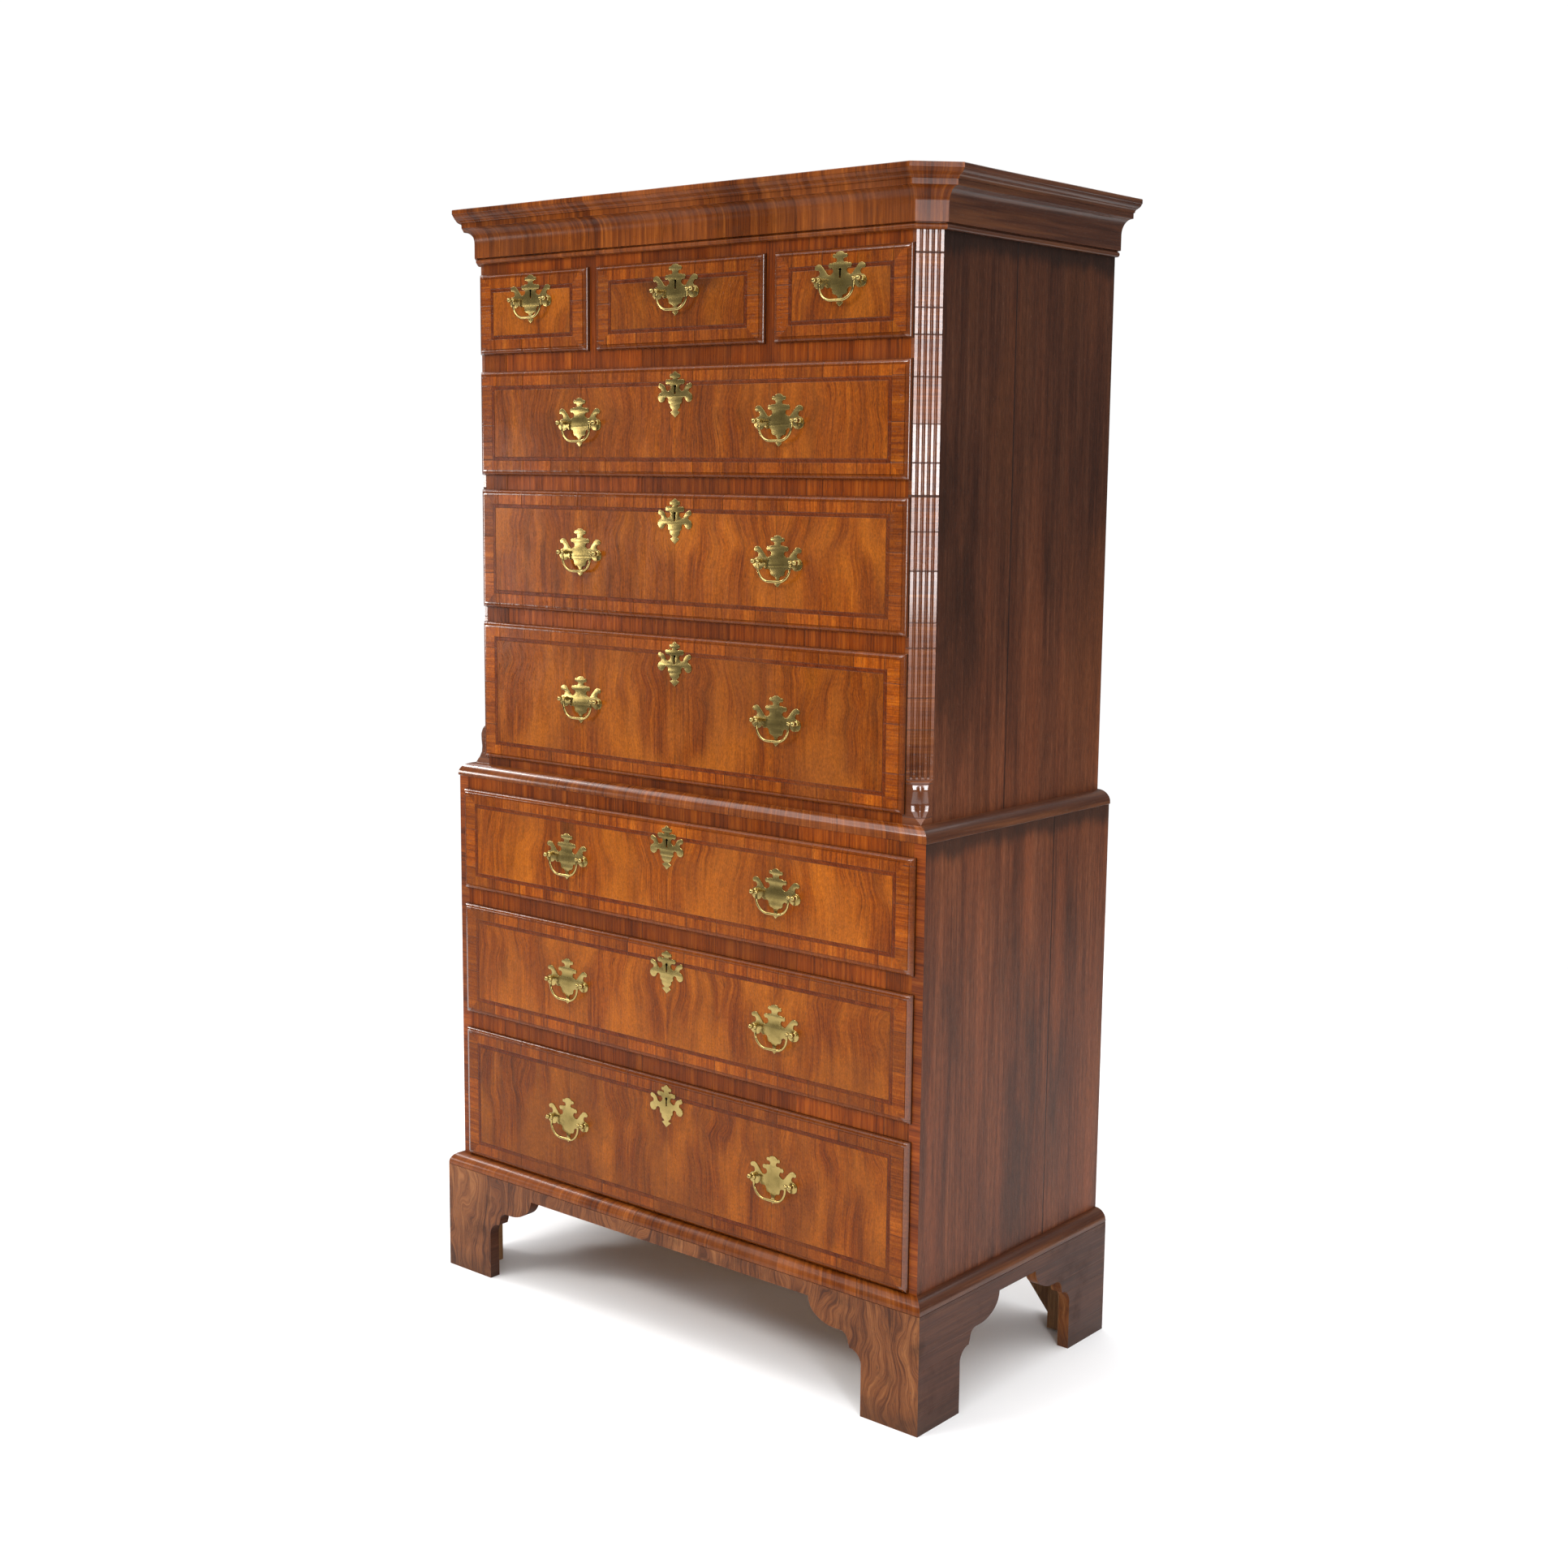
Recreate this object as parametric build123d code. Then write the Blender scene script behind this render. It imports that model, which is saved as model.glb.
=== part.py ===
from build123d import *
import os
from math import cos, radians, sin, sqrt, tan

# A walnut chest on chest, or tallboy, in millimetres: a lower case of three long drawers on bracket
# feet, and an upper case of three long and three short drawers, with fluted canted corners and a
# cove cornice. While it is modelled, X runs along the front, Y runs back from the front face of the
# lower case and Z up from the floor. Every solid is moved at the end, so that the origin is at the
# bottom centre of the whole piece's box.

# ---------------------------------------------------------------- overall sizes
LOWER_WIDTH = 978.0          # across the lower case, over its sides
CASE_DEPTH = 494.0           # front of the lower case to the outside of the back
UPPER_WIDTH = 934.0          # across the upper case, over its sides
UPPER_SETBACK = 17.0         # the upper front stands this far behind the lower one
BOARD = 20.0                 # side and top boards
BACK_BOARD = 12.0
DUST_BOARD = 14.0
RAIL_DEPTH = 45.0            # front rails and corner posts, front to back

# ---------------------------------------------------------------- bracket feet and base
FOOT_HEIGHT = 183.0          # floor to the underside of the lower case
BASE_PROJECTION = 20.0       # feet and base moulding stand this far out of the case
BASE_MOULDING_HEIGHT = 21.0
APRON_HEIGHT = 22.0          # straight strip between the feet
FOOT_WIDTH = 105.0           # a foot at the floor
FOOT_STRAIGHT = 79.0         # height of its straight inner edge
FOOT_HOLLOW = 22.0           # radius of the hollow above that edge
FOOT_NIB = (3.0, 8.0)        # small step after the hollow: along, up
FOOT_SMALL_HOLLOW = 15.0     # radius of the second hollow
FOOT_FLAT = 10.0             # level run before the lobe
FOOT_LOBE = 52.0             # length of the lobe, which rises to the strip
FRAME_BAR = (60.0, 20.0)     # base frame under the case: width, thickness
GLUE_BLOCK = 45.0
GLUE_BLOCK_LIFT = 5.0        # the glue blocks stop short of the floor
REAR_BRACKET_REACH = 170.0

# ---------------------------------------------------------------- lower case, from the bottom up
LOWER_BOTTOM_RAIL = 27.5
LOWER_OPENINGS = [218.0, 181.0, 161.5]
LOWER_RAIL = 37.0
LOWER_TOP_RAIL = 26.0
CASE_BOARD = 16.0            # bottom board of each case, and top board of the lower one
LOWER_SEAM = 334.0           # joint of the two boards of a lower side, from the front
WAIST_HEIGHT = 22.0          # waist moulding, on the lower case and round the upper one
WAIST_OVERHANG = 2.0

# ---------------------------------------------------------------- upper case, from the bottom up
UPPER_BOTTOM_RAIL = 40.0
UPPER_OPENINGS = [219.0, 184.5, 157.5]
UPPER_RAILS = [34.0, 33.0, 37.0]
SHORT_OPENING = 118.5
UPPER_TOP_RAIL = 85.5
UPPER_SEAM = 210.0           # joint of the two boards of an upper side, from the upper front
CANT = 27.0                  # leg of the canted corner
CANT_STILE = 6.0             # plain front face of the corner post beside the cant
FLUTES = 4
FLUTE_PITCH = 8.2
FLUTE_RADIUS = 2.5
FLUTE_LIFT = 0.8             # flute centres stand this far out of the canted face
STOP_HEIGHT = 63.0           # carved stop at the foot of the cant, above the waist moulding
PARTITION = 28.0             # between the short drawers
MIDDLE_OPENING = 334.0       # middle short drawer

# ---------------------------------------------------------------- cornice
CORNICE_HEIGHT = 83.5
CORNICE_PROJECTION = 45.0
CORNICE_BEAD = (7.0, 8.5)    # bottom bead: projection, height
CORNICE_FRIEZE = (10.0, 24.0) # flat under the cove: projection, height
CORNICE_COVE = (18.0, 23.0)  # cove: out, up
CORNICE_FILLET = (2.0, 8.5)  # square under the top member: out, height
CORNICE_TOP_EDGE = 7.0       # square edge at the very top

# ---------------------------------------------------------------- drawers
LIP = 8.0                    # thickness of the lip, which stands proud of the case
LIP_OVERLAP = 5.0            # the lip laps over the case this much
LIP_ROUND = 6.5
LIP_MOULDING = 8.5           # width of the rounded border of a front
LIP_STEP = 0.9               # the flat of a front stands this far above its border
CORE = 14.0                  # part of the front inside the opening
SIDE_GAP = 1.0               # running clearance at each side and at the top
BOTTOM_GAP = 0.5
LINING = 9.0                 # drawer sides and back
DRAWER_BOTTOM = 7.0
BOTTOM_LIFT = 5.0            # drawer bottom above the lower edge of the sides
LINING_DROP = 8.0            # sides stop below the top of the front
REAR_CLEARANCE = 6.0
TAIL = (24.0, 40.0, 3.0)     # dovetail: width at its root, pitch, flare of each side
DRAWER_TRAVEL = 360.0

# ---------------------------------------------------------------- brasses
PLATE = 1.2                  # thickness of back plates and escutcheons
POST_SPREAD = 40.0           # half the distance between the two posts of a handle
PIVOT_STANDOFF = 8.0         # plate to the axis of the bail
POST_BALL = 4.2
POST_NECK = 2.8
SHANK = 2.0
SHANK_HOLE = 2.2
SHANK_TAIL = 8.0             # length of shank inside the drawer
NUT = (6.0, 3.0)             # radius, thickness
BAIL_HALF_WIDTH = 31.0
BAIL_DROP = 29.0
BAIL_CORNER = 22.0
BAIL_ROD = 2.3
BAIL_BEAD = 3.1
PIN = 1.25
PIN_CLEARANCE = 0.06
PIN_IN_POST = 2.0            # the pin ends this far past the middle of the post
LOWER_HANDLE_X = 222.0
UPPER_HANDLE_X = 205.0
SHORT_HANDLE_DROP = 39.5     # pivot below the top of a short opening
KEYHOLE_DROP = 26.0          # keyhole below the top of an opening
KEYHOLE_ABOVE_PIVOT = 13.5   # on a short drawer the keyhole is in the handle's plate
KEYHOLE = (2.3, 1.3, 12.0)   # radius of the round, half width of the slot, drop of the slot

# ---------------------------------------------------------------- locks
LOCK = (60.0, 45.0, 10.0)    # width, height, depth
BOLT = (22.0, 24.0, 5.0)
BOLT_GAP = 0.3
BOLT_THROW = 7.0
KEY_PIN = 1.4
MORTISE_SPARE = 2.0

# Half outline of a handle's back plate, from its top tip round to its bottom tip, seen from the
# front, with the bail's axis at height 0. Each entry is (point on the arc, end of the arc), and a
# None for the first makes a straight edge.
PLATE_TOP = (0.0, 38.5)
PLATE_HALF = [
    ((4.8, 37.6), (8.6, 34.6)), ((13.3, 33.0), (9.6, 29.6)), ((5.8, 26.8), (7.4, 23.4)),
    ((11.6, 23.4), (15.2, 22.2)), ((20.9, 19.4), (15.4, 16.0)), ((12.2, 11.8), (15.8, 7.3)),
    ((19.4, 6.3), (22.8, 8.3)), ((27.2, 13.8), (33.0, 19.8)), ((38.6, 22.0), (43.0, 20.4)),
    ((45.4, 16.4), (40.4, 14.1)), ((36.6, 11.0), (38.4, 5.6)), ((47.6, -3.0), (38.2, -12.0)),
    ((31.2, -11.6), (27.0, -7.6)), ((24.6, -10.4), (21.4, -11.4)), ((16.4, -11.0), (13.6, -16.0)),
    ((12.2, -19.4), (8.0, -20.6)), ((4.2, -23.6), (2.6, -28.0)), (None, (6.2, -32.0)),
    (None, (0.0, -37.5)),
]
# The same for a keyhole escutcheon, with the round of the keyhole at height 0.
ESCUTCHEON_TOP = (0.0, 22.6)
ESCUTCHEON_HALF = [
    ((3.6, 20.6), (6.2, 18.2)), ((10.8, 15.2), (6.4, 12.6)), ((5.0, 10.8), (7.2, 9.6)),
    ((10.4, 10.6), (13.6, 10.0)), ((19.6, 6.2), (14.0, 3.0)), ((8.6, -1.4), (11.4, -5.8)),
    ((15.2, -7.4), (19.0, -3.8)), ((22.4, 1.4), (27.4, 3.8)), ((34.4, 1.4), (31.0, -3.0)),
    ((27.6, -6.0), (30.0, -9.6)), ((35.4, -16.6), (27.6, -23.6)), ((22.2, -20.6), (20.8, -17.4)),
    ((16.8, -16.0), (13.6, -20.2)), ((13.4, -24.2), (10.2, -26.2)), ((9.6, -31.2), (5.6, -34.4)),
    (None, (4.4, -36.4)), (None, (9.8, -38.6)), (None, (0.0, -46.6)),
]

# ---------------------------------------------------------------- heights and lines that follow
LOWER_HALF = LOWER_WIDTH / 2
UPPER_HALF = UPPER_WIDTH / 2
LOWER_INNER = LOWER_HALF - BOARD
UPPER_INNER = UPPER_HALF - BOARD
UPPER_OPENING_HALF = UPPER_HALF - CANT - CANT_STILE
BACK_FACE = CASE_DEPTH - BACK_BOARD
LOWER_TOP = (FOOT_HEIGHT + LOWER_BOTTOM_RAIL + sum(LOWER_OPENINGS)
             + (len(LOWER_OPENINGS) - 1) * LOWER_RAIL + LOWER_TOP_RAIL)
WAIST_TOP = LOWER_TOP + WAIST_HEIGHT
UPPER_CASE_TOP = (LOWER_TOP + UPPER_BOTTOM_RAIL + sum(UPPER_OPENINGS) + sum(UPPER_RAILS)
                  + SHORT_OPENING + UPPER_TOP_RAIL)
TOP = UPPER_CASE_TOP + BOARD
POST_BACK = UPPER_SETBACK + RAIL_DEPTH
HANDLE_REACH = LIP + PLATE + PIVOT_STANDOFF + POST_BALL
FRONT_REACH = max(BASE_PROJECTION, HANDLE_REACH, CORNICE_PROJECTION - UPPER_SETBACK)
TO_CENTRE = Pos(0, (FRONT_REACH - CASE_DEPTH) / 2, 0)


def block(x0, x1, y0, y1, z0, z1):
    """A rectangular board between two opposite corners."""
    return Pos((x0 + x1) / 2, (y0 + y1) / 2, (z0 + z1) / 2) * Box(x1 - x0, y1 - y0, z1 - z0)


def plan_prism(points, z0, z1):
    """An upright prism over a plan outline."""
    return Pos(0, 0, z0) * extrude(make_face(Polyline(*points, close=True)), amount=z1 - z0)


def front_plane(x, y, z):
    """A drawing plane that faces the viewer: its axes run right and up, its normal out of the front."""
    return Plane(origin=(x, y, z), x_dir=(1, 0, 0), z_dir=(0, -1, 0))


def both_sides(solid):
    """A piece of the right-hand side and its mirror image on the left."""
    return [solid, solid.mirror(Plane.YZ)]


def rows(bottom, openings, rails):
    """Bottom heights of openings that are stacked with rails between them."""
    found, height = [], bottom
    for opening, rail in zip(openings, rails):
        found.append(height)
        height += opening + rail
    return found


LOWER_ROWS = rows(FOOT_HEIGHT + LOWER_BOTTOM_RAIL, LOWER_OPENINGS, [LOWER_RAIL] * 3)
UPPER_ROWS = rows(LOWER_TOP + UPPER_BOTTOM_RAIL, UPPER_OPENINGS + [SHORT_OPENING], UPPER_RAILS + [0.0])
SHORT_ROW = UPPER_ROWS[-1]
SHORT_TOP = SHORT_ROW + SHORT_OPENING
SHORT_SIDE_OPENING = UPPER_OPENING_HALF - MIDDLE_OPENING / 2 - PARTITION
SHORT_SIDE_X = UPPER_OPENING_HALF - SHORT_SIDE_OPENING / 2
KEY_X = {"drawer_short_left": -SHORT_SIDE_X, "drawer_short_right": SHORT_SIDE_X}


# ---------------------------------------------------------------- mouldings
def moulding(profile, inner_a, inner_b, outer_a, outer_b, z0, z1):
    """One mitred length of moulding on the wall line inner_a to inner_b. The profile is drawn as
    (distance out, height), and the cut ends run from each inner corner to the outer one."""
    along = Vector(*inner_b) - Vector(*inner_a)
    out = Vector(along.Y, -along.X, 0).normalized()
    middle = (Vector(*inner_a) + Vector(*inner_b)) / 2
    plane = Plane(origin=middle, x_dir=out, z_dir=out.cross(Vector(0, 0, 1)))
    reach = (Vector(*outer_a) - Vector(*inner_a)).length
    bar = extrude(plane * profile, amount=along.length / 2 + reach, both=True)
    behind_a = Vector(*inner_a) * 1.1 - Vector(*outer_a) * 0.1
    behind_b = Vector(*inner_b) * 1.1 - Vector(*outer_b) * 0.1
    beyond_a = Vector(*outer_a) * 1.1 - Vector(*inner_a) * 0.1
    beyond_b = Vector(*outer_b) * 1.1 - Vector(*inner_b) * 0.1
    corners = [(v.X, v.Y) for v in (behind_a, behind_b, beyond_b, beyond_a)]
    return bar & plan_prism(corners, z0 - 1, z1 + 1)


def thumb_profile(projection, height, z0, square):
    """A quarter-round moulding on a small square edge."""
    inner = square / 2
    quarter = ThreePointArc(
        (projection, z0 + square),
        (inner + (projection - inner) * sqrt(0.5), z0 + square + (height - square) * sqrt(0.5)),
        (inner, z0 + height),
    )
    return make_face([
        Line((0, z0), (projection, z0)), Line((projection, z0), (projection, z0 + square)),
        quarter, Line((inner, z0 + height), (0, z0 + height)), Line((0, z0 + height), (0, z0)),
    ])


def cornice_profile():
    """Bead, flat frieze, cove, square and cyma, from the bottom up."""
    z = TOP - CORNICE_HEIGHT
    bead_out, bead_up = CORNICE_BEAD
    frieze_out, frieze_up = CORNICE_FRIEZE
    cove_out, cove_up = CORNICE_COVE
    fillet_out, fillet_up = CORNICE_FILLET
    a = (frieze_out, z + bead_up + frieze_up)
    b = (frieze_out + cove_out, a[1] + cove_up)
    cove_middle = (b[0] - cove_out * sqrt(0.5), a[1] + cove_up * sqrt(0.5))
    c = (b[0] + fillet_out, b[1])
    d = (c[0], c[1] + fillet_up)
    e = (d[0] + fillet_out, d[1])
    f = (CORNICE_PROJECTION, TOP - CORNICE_TOP_EDGE)
    turn = ((e[0] + f[0]) / 2, (e[1] + f[1]) / 2)
    quarter = Vector(f[0] - e[0], f[1] - e[1]) / 4
    sag = quarter.rotate(Axis.Z, -90) * 0.55
    lower_bend = (e[0] + quarter.X + sag.X, e[1] + quarter.Y + sag.Y)
    upper_bend = (f[0] - quarter.X - sag.X, f[1] - quarter.Y - sag.Y)
    edges = Polyline((0, TOP), (0, z), (bead_out, z), (bead_out, z + bead_up),
                     (frieze_out, z + bead_up), a).edges()
    edges += [ThreePointArc(a, cove_middle, b)]
    edges += Polyline(b, c, d, e).edges()
    edges += [ThreePointArc(e, lower_bend, turn), ThreePointArc(turn, upper_bend, f)]
    edges += Polyline(f, (CORNICE_PROJECTION, TOP), (0, TOP)).edges()
    return make_face(edges)


def cornice():
    """Five mitred lengths: front, two cants and two returns."""
    out, shift = CORNICE_PROJECTION, CORNICE_PROJECTION * tan(radians(22.5))
    front_in = (UPPER_HALF - CANT, UPPER_SETBACK)
    front_out = (front_in[0] + shift, UPPER_SETBACK - out)
    side_in = (UPPER_HALF, UPPER_SETBACK + CANT)
    side_out = (UPPER_HALF + out, side_in[1] - shift)
    back_in, back_out = (UPPER_HALF, CASE_DEPTH), (UPPER_HALF + out, CASE_DEPTH)
    profile, z0 = cornice_profile(), TOP - CORNICE_HEIGHT
    front = moulding(profile, (-front_in[0], front_in[1]), front_in,
                     (-front_out[0], front_out[1]), front_out, z0, TOP)
    cant = moulding(profile, front_in, side_in, front_out, side_out, z0, TOP)
    side = moulding(profile, side_in, back_in, side_out, back_out, z0, TOP)
    return [front] + both_sides(cant) + both_sides(side)


def case_mouldings():
    """The waist moulding round the foot of the upper case, and the base moulding above the feet."""
    solids = []
    waist_front = UPPER_SETBACK + WAIST_OVERHANG
    waist_side = LOWER_HALF - UPPER_HALF + WAIST_OVERHANG
    for front_in, front_width, side_width, z0, height, square in (
        ((UPPER_HALF, UPPER_SETBACK), waist_front, waist_side, LOWER_TOP, WAIST_HEIGHT, 4.0),
        ((LOWER_HALF, 0.0), BASE_PROJECTION, BASE_PROJECTION, FOOT_HEIGHT, BASE_MOULDING_HEIGHT, 3.0),
    ):
        corner = (front_in[0] + side_width, front_in[1] - front_width)
        back_in, back_out = (front_in[0], CASE_DEPTH), (corner[0], CASE_DEPTH)
        z1 = z0 + height
        solids.append(moulding(
            thumb_profile(front_width, height, z0, square), (-front_in[0], front_in[1]), front_in,
            (-corner[0], corner[1]), corner, z0, z1))
        solids += both_sides(moulding(
            thumb_profile(side_width, height, z0, square), front_in, back_in, corner, back_out, z0, z1))
    return solids


# ---------------------------------------------------------------- bracket base
def bracket_outline():
    """A bracket foot from its outer corner at (0, 0): straight, hollow, nib, hollow, level, lobe."""
    nib_along, nib_up = FOOT_NIB
    a = (FOOT_WIDTH, FOOT_STRAIGHT)
    b = (a[0] + FOOT_HOLLOW, a[1] + FOOT_HOLLOW)
    a_b = (b[0] - FOOT_HOLLOW * sqrt(0.5), a[1] + FOOT_HOLLOW * sqrt(0.5))
    c = (b[0] + nib_along, b[1] + nib_up)
    d = (c[0] + FOOT_SMALL_HOLLOW, c[1] + FOOT_SMALL_HOLLOW)
    c_d = (d[0] - FOOT_SMALL_HOLLOW * sqrt(0.5), c[1] + FOOT_SMALL_HOLLOW * sqrt(0.5))
    e = (d[0] + FOOT_FLAT, d[1])
    f = (e[0] + FOOT_LOBE, FOOT_HEIGHT - APRON_HEIGHT)
    edges = Polyline((0, 0), (FOOT_WIDTH, 0), a).edges()
    edges += [ThreePointArc(a, a_b, b), Line(b, c), ThreePointArc(c, c_d, d), Line(d, e)]
    rise = f[1] - e[1]
    lobe = [(e[0] + FOOT_LOBE * sin(radians(t)), f[1] - rise * cos(radians(t))) for t in (22.5, 45, 67.5)]
    edges += [ThreePointArc(e, lobe[0], lobe[1]), ThreePointArc(lobe[1], lobe[2], f)]
    edges += Polyline(f, (f[0], FOOT_HEIGHT), (0, FOOT_HEIGHT), (0, 0)).edges()
    return make_face(edges)


BRACKET_LENGTH = (FOOT_WIDTH + FOOT_HOLLOW + FOOT_NIB[0] + FOOT_SMALL_HOLLOW + FOOT_FLAT + FOOT_LOBE)


def bracket_base():
    """Bracket feet, the strips between them, the frame under the case, rear brackets and blocks."""
    outline = bracket_outline()
    outer_x, strip_bottom = LOWER_HALF + BASE_PROJECTION, FOOT_HEIGHT - APRON_HEIGHT
    thick = BASE_PROJECTION
    facing_left = Plane(origin=(outer_x, 0, 0), x_dir=(-1, 0, 0), z_dir=(0, 1, 0))
    mitre = plan_prism([(outer_x, -thick), (outer_x, 0), (LOWER_HALF, 0)], -1, FOOT_HEIGHT + 1)
    front = extrude(facing_left * outline, amount=-thick) - mitre
    from_front = Plane(origin=(LOWER_HALF, -thick, 0), x_dir=(0, 1, 0), z_dir=(1, 0, 0))
    back_mitre = plan_prism([(outer_x, -thick), (LOWER_HALF, 0), (LOWER_HALF, -thick)], -1, FOOT_HEIGHT + 1)
    side_front = extrude(from_front * outline, amount=thick) - back_mitre
    from_back = Plane(origin=(outer_x, CASE_DEPTH, 0), x_dir=(0, -1, 0), z_dir=(-1, 0, 0))
    side_rear = extrude(from_back * outline, amount=thick)
    inner_x = outer_x - BRACKET_LENGTH
    strips = [block(-inner_x, inner_x, -thick, 0, strip_bottom, FOOT_HEIGHT)]
    strips += both_sides(block(LOWER_HALF, outer_x, BRACKET_LENGTH - thick,
                               CASE_DEPTH - BRACKET_LENGTH, strip_bottom, FOOT_HEIGHT))
    bar, bar_thick = FRAME_BAR
    frame_z = FOOT_HEIGHT - bar_thick
    frame = [block(-LOWER_HALF, LOWER_HALF, 0, bar, frame_z, FOOT_HEIGHT),
             block(-LOWER_HALF, LOWER_HALF, CASE_DEPTH - bar, CASE_DEPTH, frame_z, FOOT_HEIGHT)]
    frame += both_sides(block(LOWER_HALF - bar, LOWER_HALF, bar, CASE_DEPTH - bar, frame_z, FOOT_HEIGHT))
    low_end = GLUE_BLOCK + thick
    rear_face = Plane(origin=(LOWER_HALF, CASE_DEPTH - thick, 0), x_dir=(-1, 0, 0), z_dir=(0, 1, 0))
    rear = extrude(rear_face * make_face(Polyline(
        (0, 0), (low_end, 0), (REAR_BRACKET_REACH, frame_z * 0.75), (REAR_BRACKET_REACH, frame_z),
        (0, frame_z), close=True)), amount=thick)
    blocks = []
    for y in (0.0, CASE_DEPTH - thick - GLUE_BLOCK):
        blocks += both_sides(block(LOWER_HALF - GLUE_BLOCK, LOWER_HALF, y, y + GLUE_BLOCK,
                                   GLUE_BLOCK_LIFT, frame_z))
    brackets = both_sides(front) + both_sides(side_front) + both_sides(side_rear) + both_sides(rear)
    return brackets + strips + frame + blocks


# ---------------------------------------------------------------- lower case
def side_boards(half, front, seam, z0, z1):
    """A side of two boards glued edge to edge, the rear one rebated for the back boards."""
    rebate = BOARD / 2
    rear = block(half - BOARD, half, seam, CASE_DEPTH, z0, z1)
    rear -= block(half - BOARD, half - rebate, BACK_FACE, CASE_DEPTH, z0, z1)
    return both_sides(block(half - BOARD, half, front, seam, z0, z1)) + both_sides(rear)


def mortise(x, y_front, z):
    """The slot in the underside of a rail that a lock's bolt shoots into."""
    width, _, depth = BOLT
    y = y_front + bolt_offset()
    spare = MORTISE_SPARE / 2
    return block(x - width / 2 - spare, x + width / 2 + spare, y - spare, y + depth + spare,
                 z, z + BOLT_THROW + MORTISE_SPARE)


def bolt_offset():
    """Distance of the bolt's front face behind the case's front plane."""
    return CORE - LOCK[2] + (LOCK[2] - BOLT[2]) / 2


def lower_frame():
    """Bottom board and rail, drawer rails, dust boards, top rail, top board and kickers."""
    first = LOWER_ROWS[0]
    solids = [block(-LOWER_INNER, LOWER_INNER, 0, RAIL_DEPTH, FOOT_HEIGHT, first),
              block(-LOWER_INNER, LOWER_INNER, RAIL_DEPTH, BACK_FACE, first - CASE_BOARD, first)]
    for row, opening in zip(LOWER_ROWS[1:], LOWER_OPENINGS):
        rail = block(-LOWER_INNER, LOWER_INNER, 0, RAIL_DEPTH, row - LOWER_RAIL, row)
        solids.append(rail - mortise(0, 0, row - LOWER_RAIL))
        solids.append(block(-LOWER_INNER, LOWER_INNER, RAIL_DEPTH, BACK_FACE, row - DUST_BOARD, row))
    rail_z = LOWER_TOP - LOWER_TOP_RAIL
    board_z = LOWER_TOP - CASE_BOARD
    top_rail = block(-LOWER_INNER, LOWER_INNER, 0, RAIL_DEPTH, rail_z, LOWER_TOP)
    solids.append(top_rail - mortise(0, 0, rail_z))
    solids.append(block(-LOWER_INNER, LOWER_INNER, RAIL_DEPTH, BACK_FACE, board_z, LOWER_TOP))
    solids += both_sides(block(LOWER_INNER - BOARD, LOWER_INNER, RAIL_DEPTH, BACK_FACE, rail_z, board_z))
    return solids


# ---------------------------------------------------------------- upper case
def upper_frame():
    """Bottom and drawer rails, dust boards, side guides, short-drawer partitions and the top."""
    y0, y1 = UPPER_SETBACK, POST_BACK
    first = UPPER_ROWS[0]
    solids = [block(-UPPER_OPENING_HALF, UPPER_OPENING_HALF, y0, y1, LOWER_TOP, first),
              block(-UPPER_INNER, UPPER_INNER, y1, BACK_FACE, first - CASE_BOARD, first)]
    for row, rail_height in zip(UPPER_ROWS[1:], UPPER_RAILS):
        rail = block(-UPPER_OPENING_HALF, UPPER_OPENING_HALF, y0, y1, row - rail_height, row)
        solids.append(rail - mortise(0, y0, row - rail_height))
        solids.append(block(-UPPER_INNER, UPPER_INNER, y1, BACK_FACE, row - DUST_BOARD, row))
    for row in UPPER_ROWS:
        solids += both_sides(block(UPPER_OPENING_HALF, UPPER_INNER, y1, BACK_FACE, row, row + BOARD))
    middle = MIDDLE_OPENING / 2
    solids += both_sides(block(middle, middle + PARTITION, y0, BACK_FACE, SHORT_ROW, SHORT_TOP))
    top_rail = block(-UPPER_OPENING_HALF, UPPER_OPENING_HALF, y0, y1, SHORT_TOP, UPPER_CASE_TOP)
    for x in (-SHORT_SIDE_X, 0.0, SHORT_SIDE_X):
        top_rail -= mortise(x, y0, SHORT_TOP)
    solids += [top_rail, block(-UPPER_INNER, UPPER_INNER, y1, BACK_FACE, SHORT_TOP, SHORT_TOP + DUST_BOARD)]
    corner = UPPER_HALF - CANT
    outline = [(-UPPER_HALF, CASE_DEPTH), (-UPPER_HALF, y0 + CANT), (-corner, y0), (corner, y0),
               (UPPER_HALF, y0 + CANT), (UPPER_HALF, CASE_DEPTH)]
    solids.append(plan_prism(outline, UPPER_CASE_TOP, TOP))
    return solids


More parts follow.
